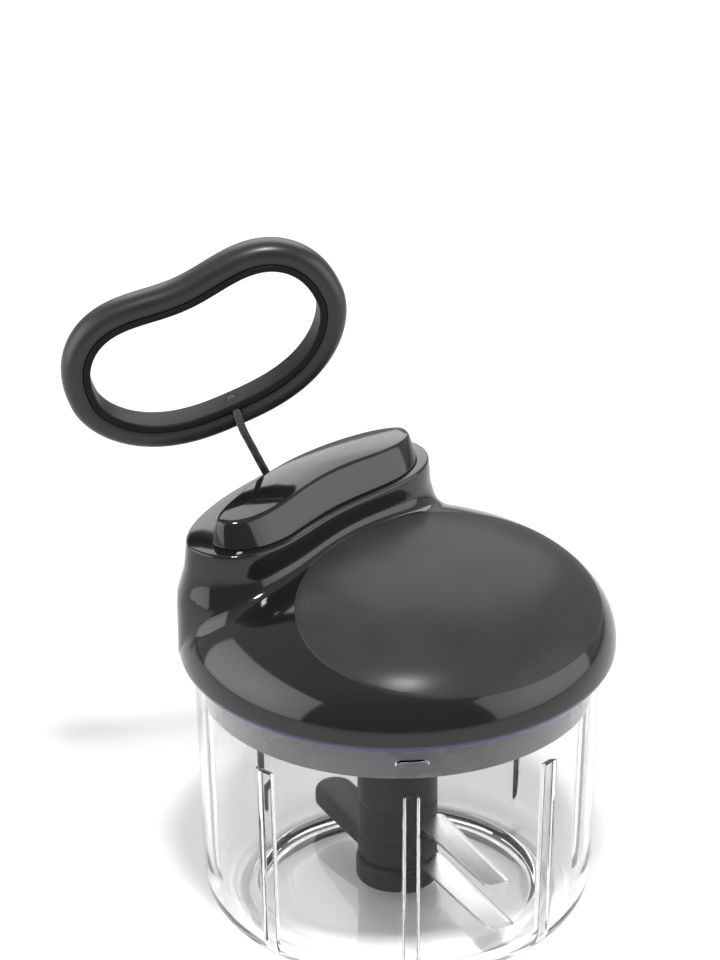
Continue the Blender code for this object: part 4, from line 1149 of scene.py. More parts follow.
@dataclass
class Bowl:
    """The clear bowl: leaning wall with ribs inside and lugs outside, and a ringed floor."""

    corner: float = 0.010
    floor: float = 0.0032
    ring_radius: float = 0.0415
    ring_width: float = 0.0022
    ring_height: float = 0.0009
    ring_steps: int = 16
    boss_radius: float = 0.0062
    lip_outside: float = 0.0006
    lip_band: float = 0.0030
    lip_inside: float = 0.0004
    boss_height: float = 0.0020
    socket_radius: float = 0.0033
    socket_depth: float = 0.0028
    foot_recess: float = 0.0006
    foot_width: float = 0.0030
    rib_count: int = 8
    rib_half_width: float = 0.0020
    rib_edge: float = 0.0007
    rib_depth: float = 0.0024
    rib_top: float = 0.0655
    rib_end: float = 0.0016
    lug_half_length: float = 0.0033
    lug_half_height: float = 0.00135
    lug_depth: float = 0.0011
    lug_level: float = 0.0767
    lug_edge: float = 0.00022
    lug_turn: float = 44.0
    lug_count: int = 4
    lug_rows_mm: tuple[float, ...] = (1.8, 1.6, 1.45, 1.3, 1.1, 0.8, 0.4, 0)
    side_rows: int = 12
    side_top: float = 0.073
    corner_rows: int = 10
    inner_corner_rows: int = 12
    rib_rows: int = 10
    rib_end_shares: tuple[float, ...] = (0.8, 0.6, 0.4, 0.2, 0)
    rows_over_ribs: tuple[float, ...] = (0.0665, 0.072, 0.078, 0.0825)
    foot_shares: Pair = (0.6, 0.3)
    socket_edge: float = 0.0005
    fine_turns: tuple[float, ...] = (
        *(0.0, 0.45, 0.9, 1.25, 1.55, 1.8, 2.05, 2.3, 2.6, 2.95, 3.3, 3.7, 4.1, 4.4, 4.7, 5.1, 6.0),
        *(7.5, 9.5, 12.0, 14.5, 17.0, 19.5),
    )

    def turns(self) -> list[float]:
        """Angles of the wall's columns, close together at each rib and lug.

        Returns:
            The angles in radians, in order.
        """
        pitch = 360 / self.rib_count
        spread = [-step for step in reversed(self.fine_turns[1:])]
        spread += [*self.fine_turns, pitch / 2]
        starts = [RIM.turn + pitch * index for index in range(self.rib_count)]
        return [math.radians(start + step) for start in starts for step in spread]

    def outer_side(self) -> list[Pair]:
        """Radius and level down the outside, from the rim to the middle of the underside.

        Returns:
            The points, as (radius, level).
        """
        shifts = [*self.lug_rows_mm, *(-row for row in reversed(self.lug_rows_mm[:-1]))]
        levels = [RIM.bowl_height - self.lip_outside, RIM.bowl_height - self.lip_band]
        levels += [self.lug_level + shift / 1000 for shift in shifts]
        for step in range(self.side_rows + 1):
            levels.append(blended(self.side_top, self.corner, step / self.side_rows))
        side = [(RIM.bowl_radius(level), level) for level in levels]
        flat = RIM.bowl_base_radius - self.corner
        for across, up in reversed(quarter_arc(self.corner_rows)[:-1]):
            side.append((flat + self.corner * across, self.corner * up))
        recess = self.foot_recess
        side += [(flat - self.foot_width, 0), (flat - self.foot_width - recess, recess)]
        return side + [(share * flat, recess) for share in self.foot_shares]

    def inner_side(self) -> list[Pair]:
        """Radius and level of the inside, from the middle of the floor up to the rim.

        Returns:
            The points, as (radius, level).
        """
        boss_top = self.floor + self.boss_height
        socket_bottom = boss_top - self.socket_depth
        middle = [(0, socket_bottom), (self.socket_radius, socket_bottom)]
        middle += [(self.socket_radius, boss_top), (self.boss_radius, boss_top)]
        middle += [(self.boss_radius, self.floor), (self.ring_radius - self.ring_width, self.floor)]
        side = softened(middle, self.socket_edge, 3, closed=False)
        for step in range(1, self.ring_steps + 1):
            share = step / self.ring_steps
            swell = self.ring_height * (1 - math.cos(math.tau * share)) / 2
            side.append((self.ring_radius + self.ring_width * (2 * share - 1), self.floor + swell))
        base = RIM.bowl_base_radius - self.corner
        inner = self.corner - RIM.bowl_wall
        for across, up in quarter_arc(self.inner_corner_rows):
            side.append((base + inner * across, self.floor + inner * up))
        bottom, top = side[-1][1], self.rib_top - self.rib_end
        shares = [step / self.rib_rows for step in range(1, self.rib_rows + 1)]
        levels = [blended(bottom, top, share) for share in shares]
        levels += [self.rib_top - self.rib_end * share for share in self.rib_end_shares]
        levels += [*self.rows_over_ribs, RIM.bowl_height - self.lip_inside]
        return side + [(RIM.bowl_radius(level) - RIM.bowl_wall, level) for level in levels]

    def rib(self, angle: float, radius: float, level: float) -> float:
        """How far the inner side stands in at a rib.

        Args:
            angle: The column's angle.
            radius: The inner side's plain radius.
            level: The level.

        Returns:
            The radius with the rib on it.
        """
        if level > self.rib_top + WELD_DISTANCE:
            return radius
        away = off_pitch(angle, RIM.turn, self.rib_count) * radius
        across = eased((self.rib_half_width + self.rib_edge / 2 - away) / self.rib_edge)
        past = max(0.0, (level - self.rib_top + self.rib_end) / self.rib_end)
        up = math.sqrt(max(0.0, 1 - past**2))
        face = RIM.bowl_radius(max(level, self.corner)) - RIM.bowl_wall - self.rib_depth
        return radius - across * up * max(0.0, radius - face)

    def lug(self, angle: float, radius: float, level: float) -> float:
        """How far the outer side stands out at a lug.

        Args:
            angle: The column's angle.
            radius: The outer side's plain radius.
            level: The level.

        Returns:
            The radius with the lug on it.
        """
        past = off_pitch(angle, self.lug_turn, self.lug_count) * radius - self.lug_half_length
        distance = math.hypot(max(0.0, past), level - self.lug_level)
        share = (self.lug_half_height - distance) / self.lug_edge + 0.5
        return radius + self.lug_depth * eased(share)

    def build(self) -> None:
        """Moulds the bowl in one skin and dresses it."""
        angles = self.turns()
        rings: list[Ring] = [[Vector((0, 0, self.foot_recess))]]
        top = RIM.bowl_top_radius
        lip = [(top - self.lip_outside, RIM.bowl_height)]
        lip.append((top - RIM.bowl_wall + self.lip_inside, RIM.bowl_height))
        sides = [(row, self.lug) for row in reversed(self.outer_side())]
        sides += [(row, lambda angle, radius, level: radius) for row in lip]
        sides += [(row, self.rib) for row in reversed(self.inner_side()[1:])]
        for (radius, level), shape in sides:
            radii = [shape(angle, radius, level) for angle in angles]
            rings.append(level_ring(angles, radii, level))
        rings.append([Vector((0, 0, self.floor + self.boss_height - self.socket_depth))])
        mesh = ring_mesh("bowl_skin", rings, sharp=50)
        set_piece("bowl_skin", mesh, "bowl_body", Finish.CLEAR, "bowl")


@dataclass
class BladeUnit:
    """Hub, foot ring, two ground blades and the paddle arm."""

    turn: float = BLADE_TURN
    hub_radius: float = 0.0118
    hub_top: float = 0.0790
    shoulder: float = 0.0145
    neck_radius: float = 0.0098
    bore_radius: float = 0.0047
    bore_top: float = 0.0305
    socket_radius: float = 0.0079
    socket_bottom: float = 0.0690
    foot_radius: float = 0.0123
    foot_bottom: float = 0.0060
    foot_top: float = 0.0125
    groove_levels: tuple[float, ...] = (0.0215, 0.0325)
    groove_depth: float = 0.0003
    thickness: float = 0.0012
    root: float = 0.0080
    near_edge: float = 0.0013
    root_edge: float = 0.0112
    tip_edge: float = 0.0096
    ground_width: float = 0.0026
    upper_length: float = 0.0497
    upper_level: float = 0.0270
    lower_length: float = 0.0509
    lower_level: float = 0.0135
    arm_length: float = 0.0450
    arm_width: float = 0.0125
    arm_bottom: float = 0.0092
    arm_top: float = 0.0158
    arm_edge: float = 0.0020
    groove_half: float = 0.0004
    hub_edge: float = 0.0006
    foot_edge: float = 0.0009
    columns: int = 96
    blade_rows: int = 40
    row_power: float = 1.4
    tip_round: float = 0.0022
    tip_draw: float = 0.0008
    blade_edge: float = 0.0001
    hollow: float = 0.42
    arm_lap: float = 0.0012
    arm_end_steps: int = 24
    arm_edge_rows: int = 5

    def aligned(self, mesh: Mesh) -> Mesh:
        """Turns a mesh drawn along X to where the blades point."""
        mesh.transform(Matrix.Rotation(math.radians(self.turn), 4, "Z"))
        return mesh

    def hub(self) -> Mesh:
        """The hub's barrel with its neck, bore and coupling socket.

        Returns:
            Its mesh.
        """
        grooves = []
        for level in self.groove_levels:
            for shift, depth in ((-1, 0), (0, self.groove_depth), (1, 0)):
                grooves.append((self.hub_radius - depth, level + shift * self.groove_half))
        side = [(self.bore_radius, self.foot_bottom), (self.neck_radius, self.foot_bottom)]
        side += [(self.neck_radius, self.shoulder), (self.hub_radius, self.shoulder), *grooves]
        side += [(self.hub_radius, self.hub_top), (self.socket_radius, self.hub_top)]
        profile = [(0, self.bore_top), (self.bore_radius, self.bore_top)]
        profile += softened(side, self.hub_edge, 3, closed=False)
        profile += [(self.socket_radius, self.socket_bottom), (0, self.socket_bottom)]
        return turned_mesh("hub_barrel", profile, self.columns, sharp=35)

    def foot(self) -> Mesh:
        """The ring round the hub's neck.

        Returns:
            Its mesh.
        """
        inner = self.neck_radius + RIM.gap
        corners = [(inner, self.foot_bottom), (self.foot_radius, self.foot_bottom)]
        corners += [(self.foot_radius, self.foot_top), (inner, self.foot_top)]
        return turned_mesh("hub_foot_ring", softened(corners, self.foot_edge), self.columns)

    def blade(self, name: str, level: float, length: float) -> Mesh:
        """A flat blade with a hollow-ground leading edge and a rounded tip corner.

        Args:
            name: The mesh's name.
            level: The blade's middle level.
            length: Its reach from the bowl's axis.

        Returns:
            The mesh.
        """
        half, nick = self.thickness / 2, self.blade_edge
        rows = []
        for step in range(self.blade_rows + 1):
            spread = 1 - (1 - step / self.blade_rows) ** self.row_power
            x = blended(self.root, length, spread)
            tip = max(0.0, (x - length + self.tip_round) / self.tip_round)
            drawn = 1 - math.sqrt(max(0.0, 1 - tip**2))
            back = self.near_edge + self.tip_round * drawn
            taper = max(0.0, (x - self.hub_radius) / (length - self.hub_radius))
            edge = blended(self.root_edge, self.tip_edge, taper) - self.tip_draw * drawn
            ground = edge - self.ground_width
            row = [(back, half - nick), (back + nick, half), (ground, half)]
            row += [((ground + edge) / 2, half * self.hollow), (edge, nick - half)]
            row += [(edge - nick, -half), (back + nick, -half), (back, nick - half)]
            rows.append([Vector((x, y, level + z)) for y, z in row])
        return self.aligned(ring_mesh(name, rows, sharp=12))

    def arm(self) -> Mesh:
        """The paddle arm, round at its end and along its edges.

        Returns:
            Its mesh.
        """
        half = self.arm_width / 2
        start = self.foot_radius - self.arm_lap
        centre = self.arm_length - half
        outline = [Vector((-start, half, 0))]
        for step in range(self.arm_end_steps + 1):
            angle = math.pi / 2 + math.pi * step / self.arm_end_steps
            outline.append(Vector((-centre + half * math.cos(angle), half * math.sin(angle), 0)))
        outline.append(Vector((-start, -half, 0)))
        rows = []
        for across, up in quarter_arc(self.arm_edge_rows):
            rows.append((1 - across, self.arm_bottom + self.arm_edge * up))
        full = self.arm_top + self.arm_bottom
        rows += [(share, full - level) for share, level in reversed(rows)]
        middle = -(start + self.arm_length) / 2
        rings: list[Ring] = [[Vector((middle, 0, self.arm_bottom))]]
        for share, level in rows:
            drawn = 1 - share * self.arm_edge / half
            ring = []
            for point in outline:
                x = -centre + (point.x + centre) * drawn if point.x < -centre else point.x
                ring.append(Vector((x, point.y * drawn, level)))
            rings.append(ring)
        rings.append([Vector((middle, 0, self.arm_top))])
        return self.aligned(ring_mesh("paddle_arm_skin", rings, sharp=50))

    def build(self) -> None:
        """Builds and dresses the unit."""
        lower = self.blade("lower_blade_ground", self.lower_level, self.lower_length)
        upper = self.blade("upper_blade_ground", self.upper_level, self.upper_length)
        for name, mesh, finish, node in (
            ("hub_barrel", self.hub(), Finish.DARK, "blade_hub"),
            ("hub_foot_ring", self.foot(), Finish.DARK, "hub_foot"),
            ("paddle_arm_skin", self.arm(), Finish.DARK, "paddle_arm"),
            ("lower_blade_ground", lower, Finish.BLADE, "lower_blade"),
            ("upper_blade_ground", upper, Finish.BLADE, "upper_blade"),
        ):
            set_piece(name, mesh, "blade_unit", finish, node)


@dataclass
class LidShell:
    """The glossy lid: dome, rim and the island's ledge, faired into each other."""

    columns: int = 320
    edge: float = 0.0008
    draft: tuple[Pair, ...] = (
        (0, 0), (0.0034, 0.0003), (0.0077, 0.0006), (0.012, 0.0016), (0.017, 0.0031)
    )
    fairing: float = 0.0040
    fairing_share: float = 0.42
    rim_margin: float = 0.0010
    dome_rows: int = 34
    wall: float = 0.0026
    # Below this level and outside this radius the lid's faces wear the painted violet reflection.
    painted_reflection_level: float = 0.0843
    painted_reflection_radius: float = 0.0612
    rim: tuple[Pair, ...] = (
        (0.06318, 0.0846),
        (0.06300, 0.0838),
        (0.06270, 0.0833),
        (0.06230, 0.0830),
        (0.06060, 0.0830),
        (0.06020, 0.0834),
        (0.06020, 0.0851),
    )
    fine_count: int = 2880
    foot_tries: int = 40
    edge_rows: int = 4
    flank_rows: int = 8
    fairing_rows: int = 9
    retreat_steps: int = 20
    plateau_shift: float = 0.0020
    plateau_shares: tuple[float, ...] = (0.3, 0.6, 0.85)
    roof_rows: int = 8
    roof_drop: float = 0.0006

    def outline(self) -> list[Vector]:
        """The ledge's outline, its points spread for both the island and the rim.

        Returns:
            Its points, on the plane z = 0.
        """
        dense = LEDGE.outline(self.fine_count)
        dense.append(dense[0])
        steps = gaps(dense)
        sweeps = gaps([self.to_rim(point) for point in dense])
        around, circle = sum(steps), math.tau * DOME.radius
        weights = [step / around + sweep / circle for step, sweep in zip(steps, sweeps)]
        return spaced(dense, weights, self.columns)[:-1]

    def to_rim(self, point: Vector) -> Vector:
        """Where the ray from the island's middle through a point meets the dome's widest ring.

        Args:
            point: What the ray passes through.

        Returns:
            The meeting point, on the plane z = 0.
        """
        centre = LEDGE.centre
        way = Vector((point.x - centre.x, point.y - centre.y, 0)).normalized()
        along = centre.dot(way)
        return centre + way * (math.sqrt(along**2 - centre.length_squared + DOME.radius**2) - along)

    def flank(self, point: Vector, out: Vector, down: float) -> Vector:
        """The island's flank at a distance below an outline point, whose outward way is given."""
        where = point + out * table_value(self.draft, down)
        return Vector((where.x, where.y, LEDGE_LEVEL - down))

    def foot(self, point: Vector, out: Vector) -> float:
        """How far below the ledge the flank meets the dome.

        Args:
            point: The ledge's outline there.
            out: The outline's outward direction.

        Returns:
            The distance down.
        """
        low, high = 0.0, LEDGE_LEVEL - DOME.widest_level
        for _ in range(self.foot_tries):
            middle = (low + high) / 2
            where = self.flank(point, out, middle)
            if where.z > DOME.level(math.hypot(where.x, where.y)):
                low = middle
            else:
                high = middle
        return low

    def column(self, point: Vector, out: Vector) -> list[Vector]:
        """The lid's outer face along one line, from the ledge's edge down to the widest ring.

        Args:
            point: The ledge's outline there.
            out: The outline's outward direction.

        Returns:
            The line's points.
        """
        line = []
        for across, up in quarter_arc(self.edge_rows):
            where = point - out * self.edge * (1 - across)
            line.append(Vector((where.x, where.y, LEDGE_LEVEL - self.edge * up)))
        depth = self.foot(point, out)
        reach = min(self.fairing, (depth - self.edge) * self.fairing_share)
        for step in range(1, self.flank_rows + 1):
            down = blended(self.edge, depth - reach, step / self.flank_rows)
            line.append(self.flank(point, out, down))
        corner = self.flank(point, out, depth)
        far = reach
        end = DOME.on_face(corner + out * far)
        while math.hypot(end.x, end.y) > DOME.radius - self.rim_margin and far > 0:
            far -= reach / self.retreat_steps
            end = DOME.on_face(corner + out * max(0.0, far))
        start = line[-1]
        for step in range(1, self.fairing_rows + 1):
            share = step / self.fairing_rows
            line.append(start.lerp(corner, share).lerp(corner.lerp(end, share), share))
        rim = self.to_rim(end)
        for step in range(1, self.dome_rows + 1):
            share = 1 - (1 - step / self.dome_rows) ** 2
            line.append(DOME.on_face(Vector((end.x, end.y, 0)).lerp(rim, share)))
        return line

    def rings(self) -> list[Ring]:
        """The lid's closed skin as rings, from the ledge's middle outside to its middle inside.

        Returns:
            The rings.
        """
        outline = self.outline()
        directions = outward_directions(outline)
        columns = [self.column(point, out) for point, out in zip(outline, directions)]
        outer = [list(ring) for ring in zip(*columns)]
        centre = LEDGE.centre + Vector((0, self.plateau_shift, LEDGE_LEVEL))
        plateau = [[centre]]
        for share in self.plateau_shares:
            plateau.append([centre.lerp(place, share) for place in outer[0]])
        ways = [Vector((place.x, place.y, 0)).normalized() for place in outer[-1]]
        rim = [[way * radius + Vector((0, 0, level)) for way in ways] for radius, level in self.rim]
        inner = []
        for step in range(1, self.roof_rows + 1):
            share = 1 - (1 - step / self.roof_rows) ** 2
            ring = []
            for point, out, edge in zip(outline, directions, rim[-1]):
                where = Vector((edge.x, edge.y, 0)).lerp(point - out * self.wall, share)
                level = DOME.level(min(where.length, DOME.radius - self.wall), self.wall)
                ring.append(Vector((where.x, where.y, level - self.roof_drop)))
            inner.append(ring)
        inner.append([Vector((p.x, p.y, LEDGE_LEVEL - self.wall)) for p in inner[-1]])
        return plateau + outer + rim + inner + [[centre - Vector((0, 0, self.wall))]]

    def build(self) -> None:
        """Moulds and dresses the lid's shell, with a painted violet reflection along its lower rim.
        """
        mesh = ring_mesh("lid_dome", self.rings(), sharp=60)
        set_piece("lid_dome", mesh, "lid", Finish.GLOSS, "lid_shell")
        # Painted reflection: faces low on the rim and far from the axis get the violet finish.
        mesh.materials.append(Finish.RIM.material)
        for face in mesh.polygons:
            low = face.center.z < self.painted_reflection_level
            face.material_index = int(low and face.center.xy.length > self.painted_reflection_radius)


@dataclass
class PalmPad:
    """The soft pad let into the dome's front."""

    half_width: float = 0.0500
    centre_y: float = -0.0170
    back_reach: float = 0.0355
    front_reach: float = 0.0430
    proud: float = 0.0003
    sunk: float = 0.0006
    edge: float = 0.0007
    columns: int = 192
    face_rings: int = 16
    edge_rings: int = 6
    back_shares: tuple[float, ...] = (0.75, 0.5, 0.25)

    def rim_point(self, turn: float, share: float, inset: float) -> Vector:
        """A point of the pad's oval, drawn in by a share and an inset.

        Args:
            turn: Its place round the oval, in radians.
            share: How much of the oval's reach it has.
            inset: How far it is set in from there.

        Returns:
            The point, on the plane z = 0.
        """
        reach = self.back_reach if math.sin(turn) > 0 else self.front_reach
        x = (self.half_width - inset) * math.cos(turn) * share
        return Vector((x, self.centre_y + (reach - inset) * math.sin(turn) * share, 0))

    def ring(self, share: float, inset: float, lift: float) -> Ring:
        """One ring of the pad at a lift above the dome.

        Args:
            share: How much of the oval's reach it has.
            inset: How far it is set in from there.
            lift: Its height above the dome.

        Returns:
            The ring's points.
        """
        turns = even_angles(self.columns)
        return [DOME.on_face(self.rim_point(turn, share, inset), lift) for turn in turns]

    def build(self) -> None:
        """Shapes the pad with a rolled edge and dresses it."""
        middle = Vector((0, self.centre_y, 0))
        rings: list[Ring] = [[DOME.on_face(middle, self.proud)]]
        for step in range(1, self.face_rings + 1):
            rings.append(self.ring(step / self.face_rings, self.edge, self.proud))
        for across, up in quarter_arc(self.edge_rings)[1:]:
            drop = (self.proud + self.sunk) * up
            rings.append(self.ring(1, self.edge * (1 - across), self.proud - drop))
        rings += [self.ring(share, 0, -self.sunk) for share in self.back_shares]
        rings.append([DOME.on_face(middle, -self.sunk)])
        mesh = ring_mesh("palm_pad_skin", rings, sharp=60)
        set_piece("palm_pad_skin", mesh, "lid", Finish.PAD, "palm_pad")


@dataclass
class IslandCap:
    """The glossy cap on the ledge, with a hollowed near flank and a soft crown."""

    base: Kidney = Kidney(0.0418, 0.0196, 0.0450, 0.0054, far_power=1.1)
    top: Kidney = Kidney(0.0400, 0.0243, 0.0402, 0.0046, far_power=1.15)
    foot_level: float = 0.1203
    edge_level: float = 0.1293
    crown: float = 0.0008
    crown_power: float = 2.0
    sag: float = 0.0022
    flank: tuple[Pair, ...] = (
        (0, 0), (0.05, 0.08), (0.22, 0.30), (0.48, 0.60), (0.76, 0.88), (0.90, 0.965), (1, 1)
    )
    flank_spans: int = 5
    crown_rings: int = 18
    columns: int = 240

    def drooped(self, point: Vector, share: float) -> Vector:
        """The point lowered towards the cap's ends, by a share of the full sag."""
        return point - Vector((0, 0, self.sag * share * (point.x / self.base.half_length) ** 2))

    def build(self) -> None:
        """Shapes and dresses the cap."""
        low = self.base.outline(self.columns)
        high = self.top.outline(self.columns)
        curve = [Vector((inward, upward, 0)) for inward, upward in self.flank]
        rings: list[Ring] = [[self.base.centre + Vector((0, 0, self.foot_level))]]
        for step in smooth_run(curve, self.flank_spans):
            rise = Vector((0, 0, blended(self.foot_level, self.edge_level, step.y)))
            between = [a.lerp(b, step.x) + rise for a, b in zip(low, high)]
            rings.append([self.drooped(point, step.y) for point in between])
        centre = self.top.centre
        for index in range(1, self.crown_rings):
            shrink = 1 - index / self.crown_rings
            level = Vector((0, 0, self.edge_level + self.crown * (1 - shrink**self.crown_power)))
            rings.append([self.drooped(centre.lerp(point, shrink) + level, 1.0) for point in high])
        rings.append([centre + Vector((0, 0, self.edge_level + self.crown))])
        mesh = ring_mesh("island_cap_skin", rings, sharp=70)
        set_piece("island_cap_skin", mesh, "lid", Finish.GLOSS, "island_cap")


@dataclass
class LidUnderside:
    """Plate, skirt and seal that close the lid, with the four screws that hold the plate."""

    plate_bottom: float = 0.0870
    plate_top: float = 0.0890
    plate_radius: float = 0.0588
    bush_hole: float = 0.0061
    skirt_bottom: float = 0.0710
    skirt_wall: float = 0.0020
    skirt_gap: float = 0.0004
    seal_height: float = 0.0014
    seal_width: float = 0.0017
    seat_share: float = 0.25
    screw_count: int = 4
    screw_circle: float = 0.0455
    screw_first: float = 45.0
    screw_radius: float = 0.0013
    screw_head: float = 0.0027
    screw_head_height: float = 0.0017
    screw_top: float = 0.0965
    recess_depth: float = 0.0009
    recess_radius: float = 0.0007
    recess_mouth: float = 0.0009
    head_flat: float = 0.8
    head_bevel: float = 0.0008
    point_length: float = 0.0013
    edge: float = 0.0005
    screw_edge: float = 0.0003
    columns: int = 144
    screw_columns: int = 28

    def plate(self) -> Mesh:
        """The plate with its skirt, in one piece.

        Returns:
            Its mesh.
        """
        bottom, top, skirt = self.plate_bottom, self.plate_top, self.skirt_bottom
        outer = RIM.bowl_top_radius - RIM.bowl_wall - self.skirt_gap
        inner = outer - self.skirt_wall
        lean = RIM.bowl_radius(RIM.bowl_height) - RIM.bowl_radius(skirt)
        corners = [(self.bush_hole, bottom), (inner, bottom), (inner, skirt), (outer - lean, skirt)]
        seat = outer - self.seal_width * self.seat_share
        corners += [(seat, bottom), (self.plate_radius, bottom)]
        corners += [(self.plate_radius, top), (self.bush_hole, top)]
        return turned_mesh("plate_and_skirt", softened(corners, self.edge, 3), self.columns)

    def seal(self) -> Mesh:
        """The seal between the bowl's rim and the plate.

        Returns:
            Its mesh.
        """
        inner, low = RIM.bowl_top_radius - RIM.bowl_wall, RIM.bowl_height + RIM.gap
        outer, high = inner + self.seal_width, low + self.seal_height
        corners = [(inner, low), (outer, low), (outer, high), (inner, high)]
        return turned_mesh("rim_seal", softened(corners, self.edge, 3), self.columns)

    def screw(self) -> Mesh:
        """One pan-head screw on the axis, with its recess as a stepped dimple.

        Returns:
            Its mesh.
        """
        top = self.plate_bottom - RIM.gap
        low = top - self.screw_head_height
        floor = low + self.recess_depth
        corners = [(0, floor), (self.recess_radius, floor), (self.recess_mouth, low)]
        corners += [(self.screw_head * self.head_flat, low)]
        corners += [(self.screw_head, low + self.head_bevel), (self.screw_head, top)]
        corners += [(self.screw_radius, top)]
        corners += [(self.screw_radius, self.screw_top - self.point_length), (0, self.screw_top)]
        profile = softened(corners, self.screw_edge, 2, closed=False)
        return turned_mesh("pan_head_screw", profile, self.screw_columns)

    def screws(self) -> Mesh:
        """Four screws round the plate, set out by a node tree.

        Returns:
            Their mesh.
        """
        tree = ShapeTree("plate_screws", Finish.STEEL.material)
        count = tree.size("Count", self.screw_count, whole=True)
        circle = tree.size("Circle Radius", self.screw_circle)
        first = tree.size("First Angle", math.radians(self.screw_first))
        seats = tree.node("GeometryNodeMeshCircle", Vertices=count, Radius=circle).outputs["Mesh"]
        angle = tree.node("ShaderNodeCombineXYZ", Z=first).outputs["Vector"]
        turned = tree.node("GeometryNodeTransform", Geometry=seats, Rotation=angle)
        turned = turned.outputs["Geometry"]
        screw = tree.given.outputs["Geometry"]
        set_out = tree.node("GeometryNodeInstanceOnPoints", Points=turned, Instance=screw)
        tree.close(set_out.outputs["Instances"])
        return tree.run(self.screw())

    def build(self) -> None:
        """Builds and dresses the lid's underside."""
        set_piece("plate_and_skirt", self.plate(), "lid", Finish.SKIRT, "base_plate")
        set_piece("rim_seal", self.seal(), "lid", Finish.RUBBER, "lid_seal")
        nodes = [f"lid_screw_{index + 1}" for index in range(self.screw_count)]
        set_piece("plate_screws", self.screws(), "lid", Finish.STEEL, *nodes)


@dataclass
class Eyelet:
    """The smooth eyelet that the cord runs out of."""

    bore: float = 0.0016
    tube: float = 0.0022
    flange: float = 0.0029
    length: float = 0.0040
    thickness: float = 0.0007
    edge: float = 0.0004
    columns: int = 64

    def build(self) -> None:
        """Turns the eyelet and dresses it."""
        seat = EYELET_MOUTH.z - self.thickness
        corners = [(self.bore, LEDGE_LEVEL - self.length), (self.tube, LEDGE_LEVEL - self.length)]
        corners += [(self.tube, seat), (self.flange, seat), (self.flange, EYELET_MOUTH.z)]
        corners += [(self.bore, EYELET_MOUTH.z)]
        centre = Vector((EYELET_MOUTH.x, EYELET_MOUTH.y, 0))
        profile = softened(corners, self.edge)
        mesh = turned_mesh("cord_eyelet_smooth", profile, self.columns, centre)
        set_piece("cord_eyelet_smooth", mesh, "lid", Finish.SATIN, "cord_eyelet")


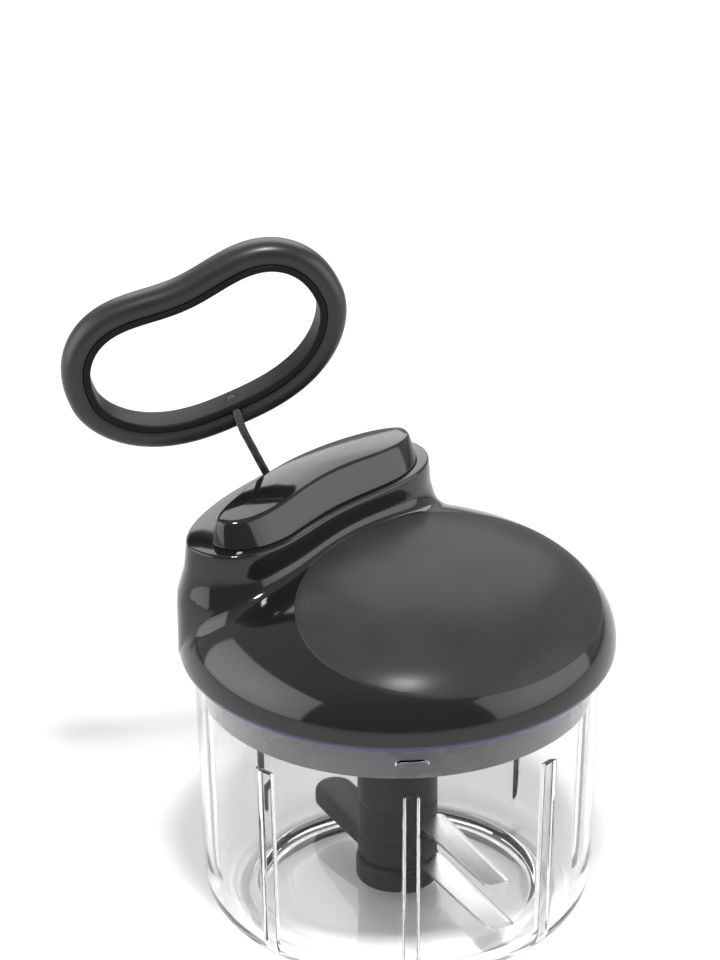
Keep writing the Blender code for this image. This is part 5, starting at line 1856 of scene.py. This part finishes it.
@dataclass
class Handle:
    """The ring handle: an inner band and a full outer grip, with the cord's hole."""

    offset: Vector = Vector((-0.0072, 0.0063, 0.0252))
    axis: Vector = Vector((-0.871, 0.149, -0.469))
    turn: float = 107.2
    half_length: float = 0.0344
    depth: float = 0.0355
    width: float = 0.0082
    height: float = 0.0106
    dip: float = 0.0056
    power: float = 0.76
    hole_side_power: float = 1.2
    knot_inset: float = 0.0013
    knot_height: float = 0.0050
    band_width: float = 0.0020
    groove: float = 0.0003
    crease: float = 0.0008
    grip_lift: float = 0.0003
    flat_share: float = 0.24
    round_powers: Pair = (0.80, 0.85)
    hole_shift: float = 0.0015
    hole_radius: float = 0.0015
    pocket_radius: float = 0.0023
    columns: int = 288
    fine_count: int = 4000
    band_round: float = 0.42
    groove_run: float = 1.6
    grip_face: float = 0.45
    grip_steps: int = 32
    shoulder_levels: Pair = (0.95, 0.985)
    shoulder_share: float = 0.45
    bore_lead: float = 0.0020
    bore_columns: int = 48
    pocket_columns: int = 40
    pocket_rows: int = 16

    @property
    def frame(self) -> Matrix:
        """From the ring's own axes, with the knot's centre at the origin, to the object's."""
        turn = Matrix.Rotation(math.radians(self.turn), 4, self.axis.normalized())
        return Matrix.Translation(EYELET_MOUTH + self.offset) @ turn

    def inner_wall(self) -> list[Vector]:
        """The ring's inner wall: round towards the cord's hole, waisted opposite.

        Returns:
            Its points at even distances, in the ring's axes.
        """
        middle = -self.knot_inset - self.depth / 2
        outline = []
        for angle in even_angles(self.fine_count):
            along, across = math.cos(angle), math.sin(angle)
            x = self.half_length * power_of(along, self.power)
            power = self.hole_side_power if across > 0 else self.power
            y = middle + self.depth / 2 * power_of(across, power)
            if across < 0:
                y -= self.dip / 2 * math.cos(math.pi * x / self.half_length) * across
            outline.append(Vector((x, y, -self.knot_height)))
        outline.append(outline[0])
        return spaced(outline, gaps(outline), self.columns)[:-1]

    def swept(self, name: str, section: Sequence[Pair]) -> Mesh:
        """Carries a section round the inner wall.

        Args:
            name: The mesh's name.
            section: Points as (outwards, up) from the inner wall's lower edge.

        Returns:
            The ring, in its own axes.
        """
        wall = self.inner_wall()
        rings = []
        for where, out in zip(wall, outward_directions(wall)):
            rings.append([where + out * a + Vector((0, 0, b)) for a, b in section])
        return ring_mesh(name, rings, looped=True, sharp=45)

    def band_section(self) -> list[Pair]:
        """The inner band's section with soft corners.

        Returns:
            Its corners as (outwards, up), from the inner wall's lower edge.
        """
        width = self.band_width
        deep = width + self.groove * self.groove_run
        corners = [(0, 0), (width, 0), (width, self.crease), (deep, self.crease + self.groove)]
        corners += [(x, self.height - y) for x, y in reversed(corners)]
        return softened(corners, width * self.band_round, 5)

    def grip_section(self) -> list[Pair]:
        """The outer grip's section: flat towards the band, full and round outside.

        Returns:
            Its corners as (outwards, up), from the inner wall's lower edge.
        """
        inner = self.band_width + self.groove
        middle = self.height / 2
        half = middle - self.grip_lift
        full = self.width - inner
        first, second = self.round_powers
        face = half * self.grip_face
        arc = []
        for step in range(self.grip_steps + 1):
            angle = -math.pi / 2 + math.pi * step / self.grip_steps
            swell = max(0.0, math.cos(angle)) ** first
            out = inner + full * (self.flat_share + (1 - self.flat_share) * swell)
            arc.append((out, middle + half * power_of(math.sin(angle), second)))
        turn_in = inner + (arc[0][0] - inner) * self.shoulder_share
        near, far = (half * level for level in self.shoulder_levels)
        section = [(inner, middle + face), (inner, middle - face)]
        section += [(inner, middle - near), (turn_in, middle - far), *arc]
        return section + [(turn_in, middle + far), (inner, middle + near)]

    def bores(self) -> list[Mesh]:
        """The slanted hole for the cord and the knot's round pocket, in the ring's axes.

        Returns:
            Their meshes.
        """
        hole = Vector((0, self.hole_shift, -self.knot_height))
        radius, reach = self.hole_radius, hole.length + self.bore_lead
        rod = [(0, 0), (radius, 0), (radius, reach), (0, reach)]
        bore = turned_mesh("cord_bore", rod, self.bore_columns)
        bore.transform(hole.to_track_quat("Z", "X").to_matrix().to_4x4())
        big = self.pocket_radius
        turns = [math.pi * (step / self.pocket_rows - 0.5) for step in range(1, self.pocket_rows)]
        ball = [(0, -big), *((big * math.cos(a), big * math.sin(a)) for a in turns), (0, big)]
        return [bore, turned_mesh("knot_pocket", ball, self.pocket_columns)]

    def build(self) -> None:
        """Builds, bores and dresses the ring."""
        for name, section, node, finish in (
            # The band wears the painted-shade copy of the grip's satin black.
            ("handle_band_smooth", self.band_section(), "handle_band", Finish.BAND),
            ("handle_grip_smooth", self.grip_section(), "handle_grip", Finish.SATIN),
        ):
            mesh = hollowed(self.swept(name, section), self.bores())
            mesh.transform(self.frame)
            set_piece(name, mesh, "handle", finish, node)


@dataclass
class Works:
    """The finish of every CAD node, also of those that a finished skin stands for."""

    finishes: tuple[tuple[Finish, str], ...] = (
        (Finish.STEEL, "pivot_pin recoil_spring drive_axle roller_pin"),
        (Finish.STEEL, "lid_screw_1 lid_screw_2 lid_screw_3 lid_screw_4"),
        (Finish.ACETAL, "hub_bush cord_drum drive_coupling guide_roller"),
        (Finish.BRASS, "lower_bush upper_bush"),
        (Finish.DARK, "spring_case roller_bracket blade_hub hub_foot paddle_arm"),
        (Finish.CORD, "cord_winding inner_cord cord_knot pull_cord"),
        (Finish.CLEAR, "bowl"),
        (Finish.BLADE, "lower_blade upper_blade"),
        (Finish.GLOSS, "lid_shell island_cap"),
        (Finish.PAD, "palm_pad"),
        (Finish.SKIRT, "base_plate"),
        (Finish.RUBBER, "lid_seal"),
        (Finish.SATIN, "cord_eyelet handle_grip"),
        (Finish.BAND, "handle_band"),
    )

    def dress(self, nodes: dict[str, Object]) -> None:
        """Gives every CAD node its finish.

        Args:
            nodes: The frame's CAD nodes by name.
        """
        dressed = [(name, finish) for finish, names in self.finishes for name in names.split()]
        for name, finish in dressed:
            for slot in nodes[name].material_slots:
                slot.material = finish.material
        LOG.info("%d CAD nodes dressed", len(dressed))


def main() -> None:
    """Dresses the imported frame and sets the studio."""
    logging.basicConfig(level=logging.INFO, format="%(name)s: %(message)s")
    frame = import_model()
    studio = Studio()
    studio.set_camera()
    Works().dress(frame["nodes"])
    PullCord().build()
    lid = (LidUnderside(), LidShell(), PalmPad(), IslandCap(), Eyelet())
    for assembly in (Bowl(), BladeUnit(), *lid, Handle()):
        assembly.build()
    studio.set_up()


if __name__ == "__main__":
    main()
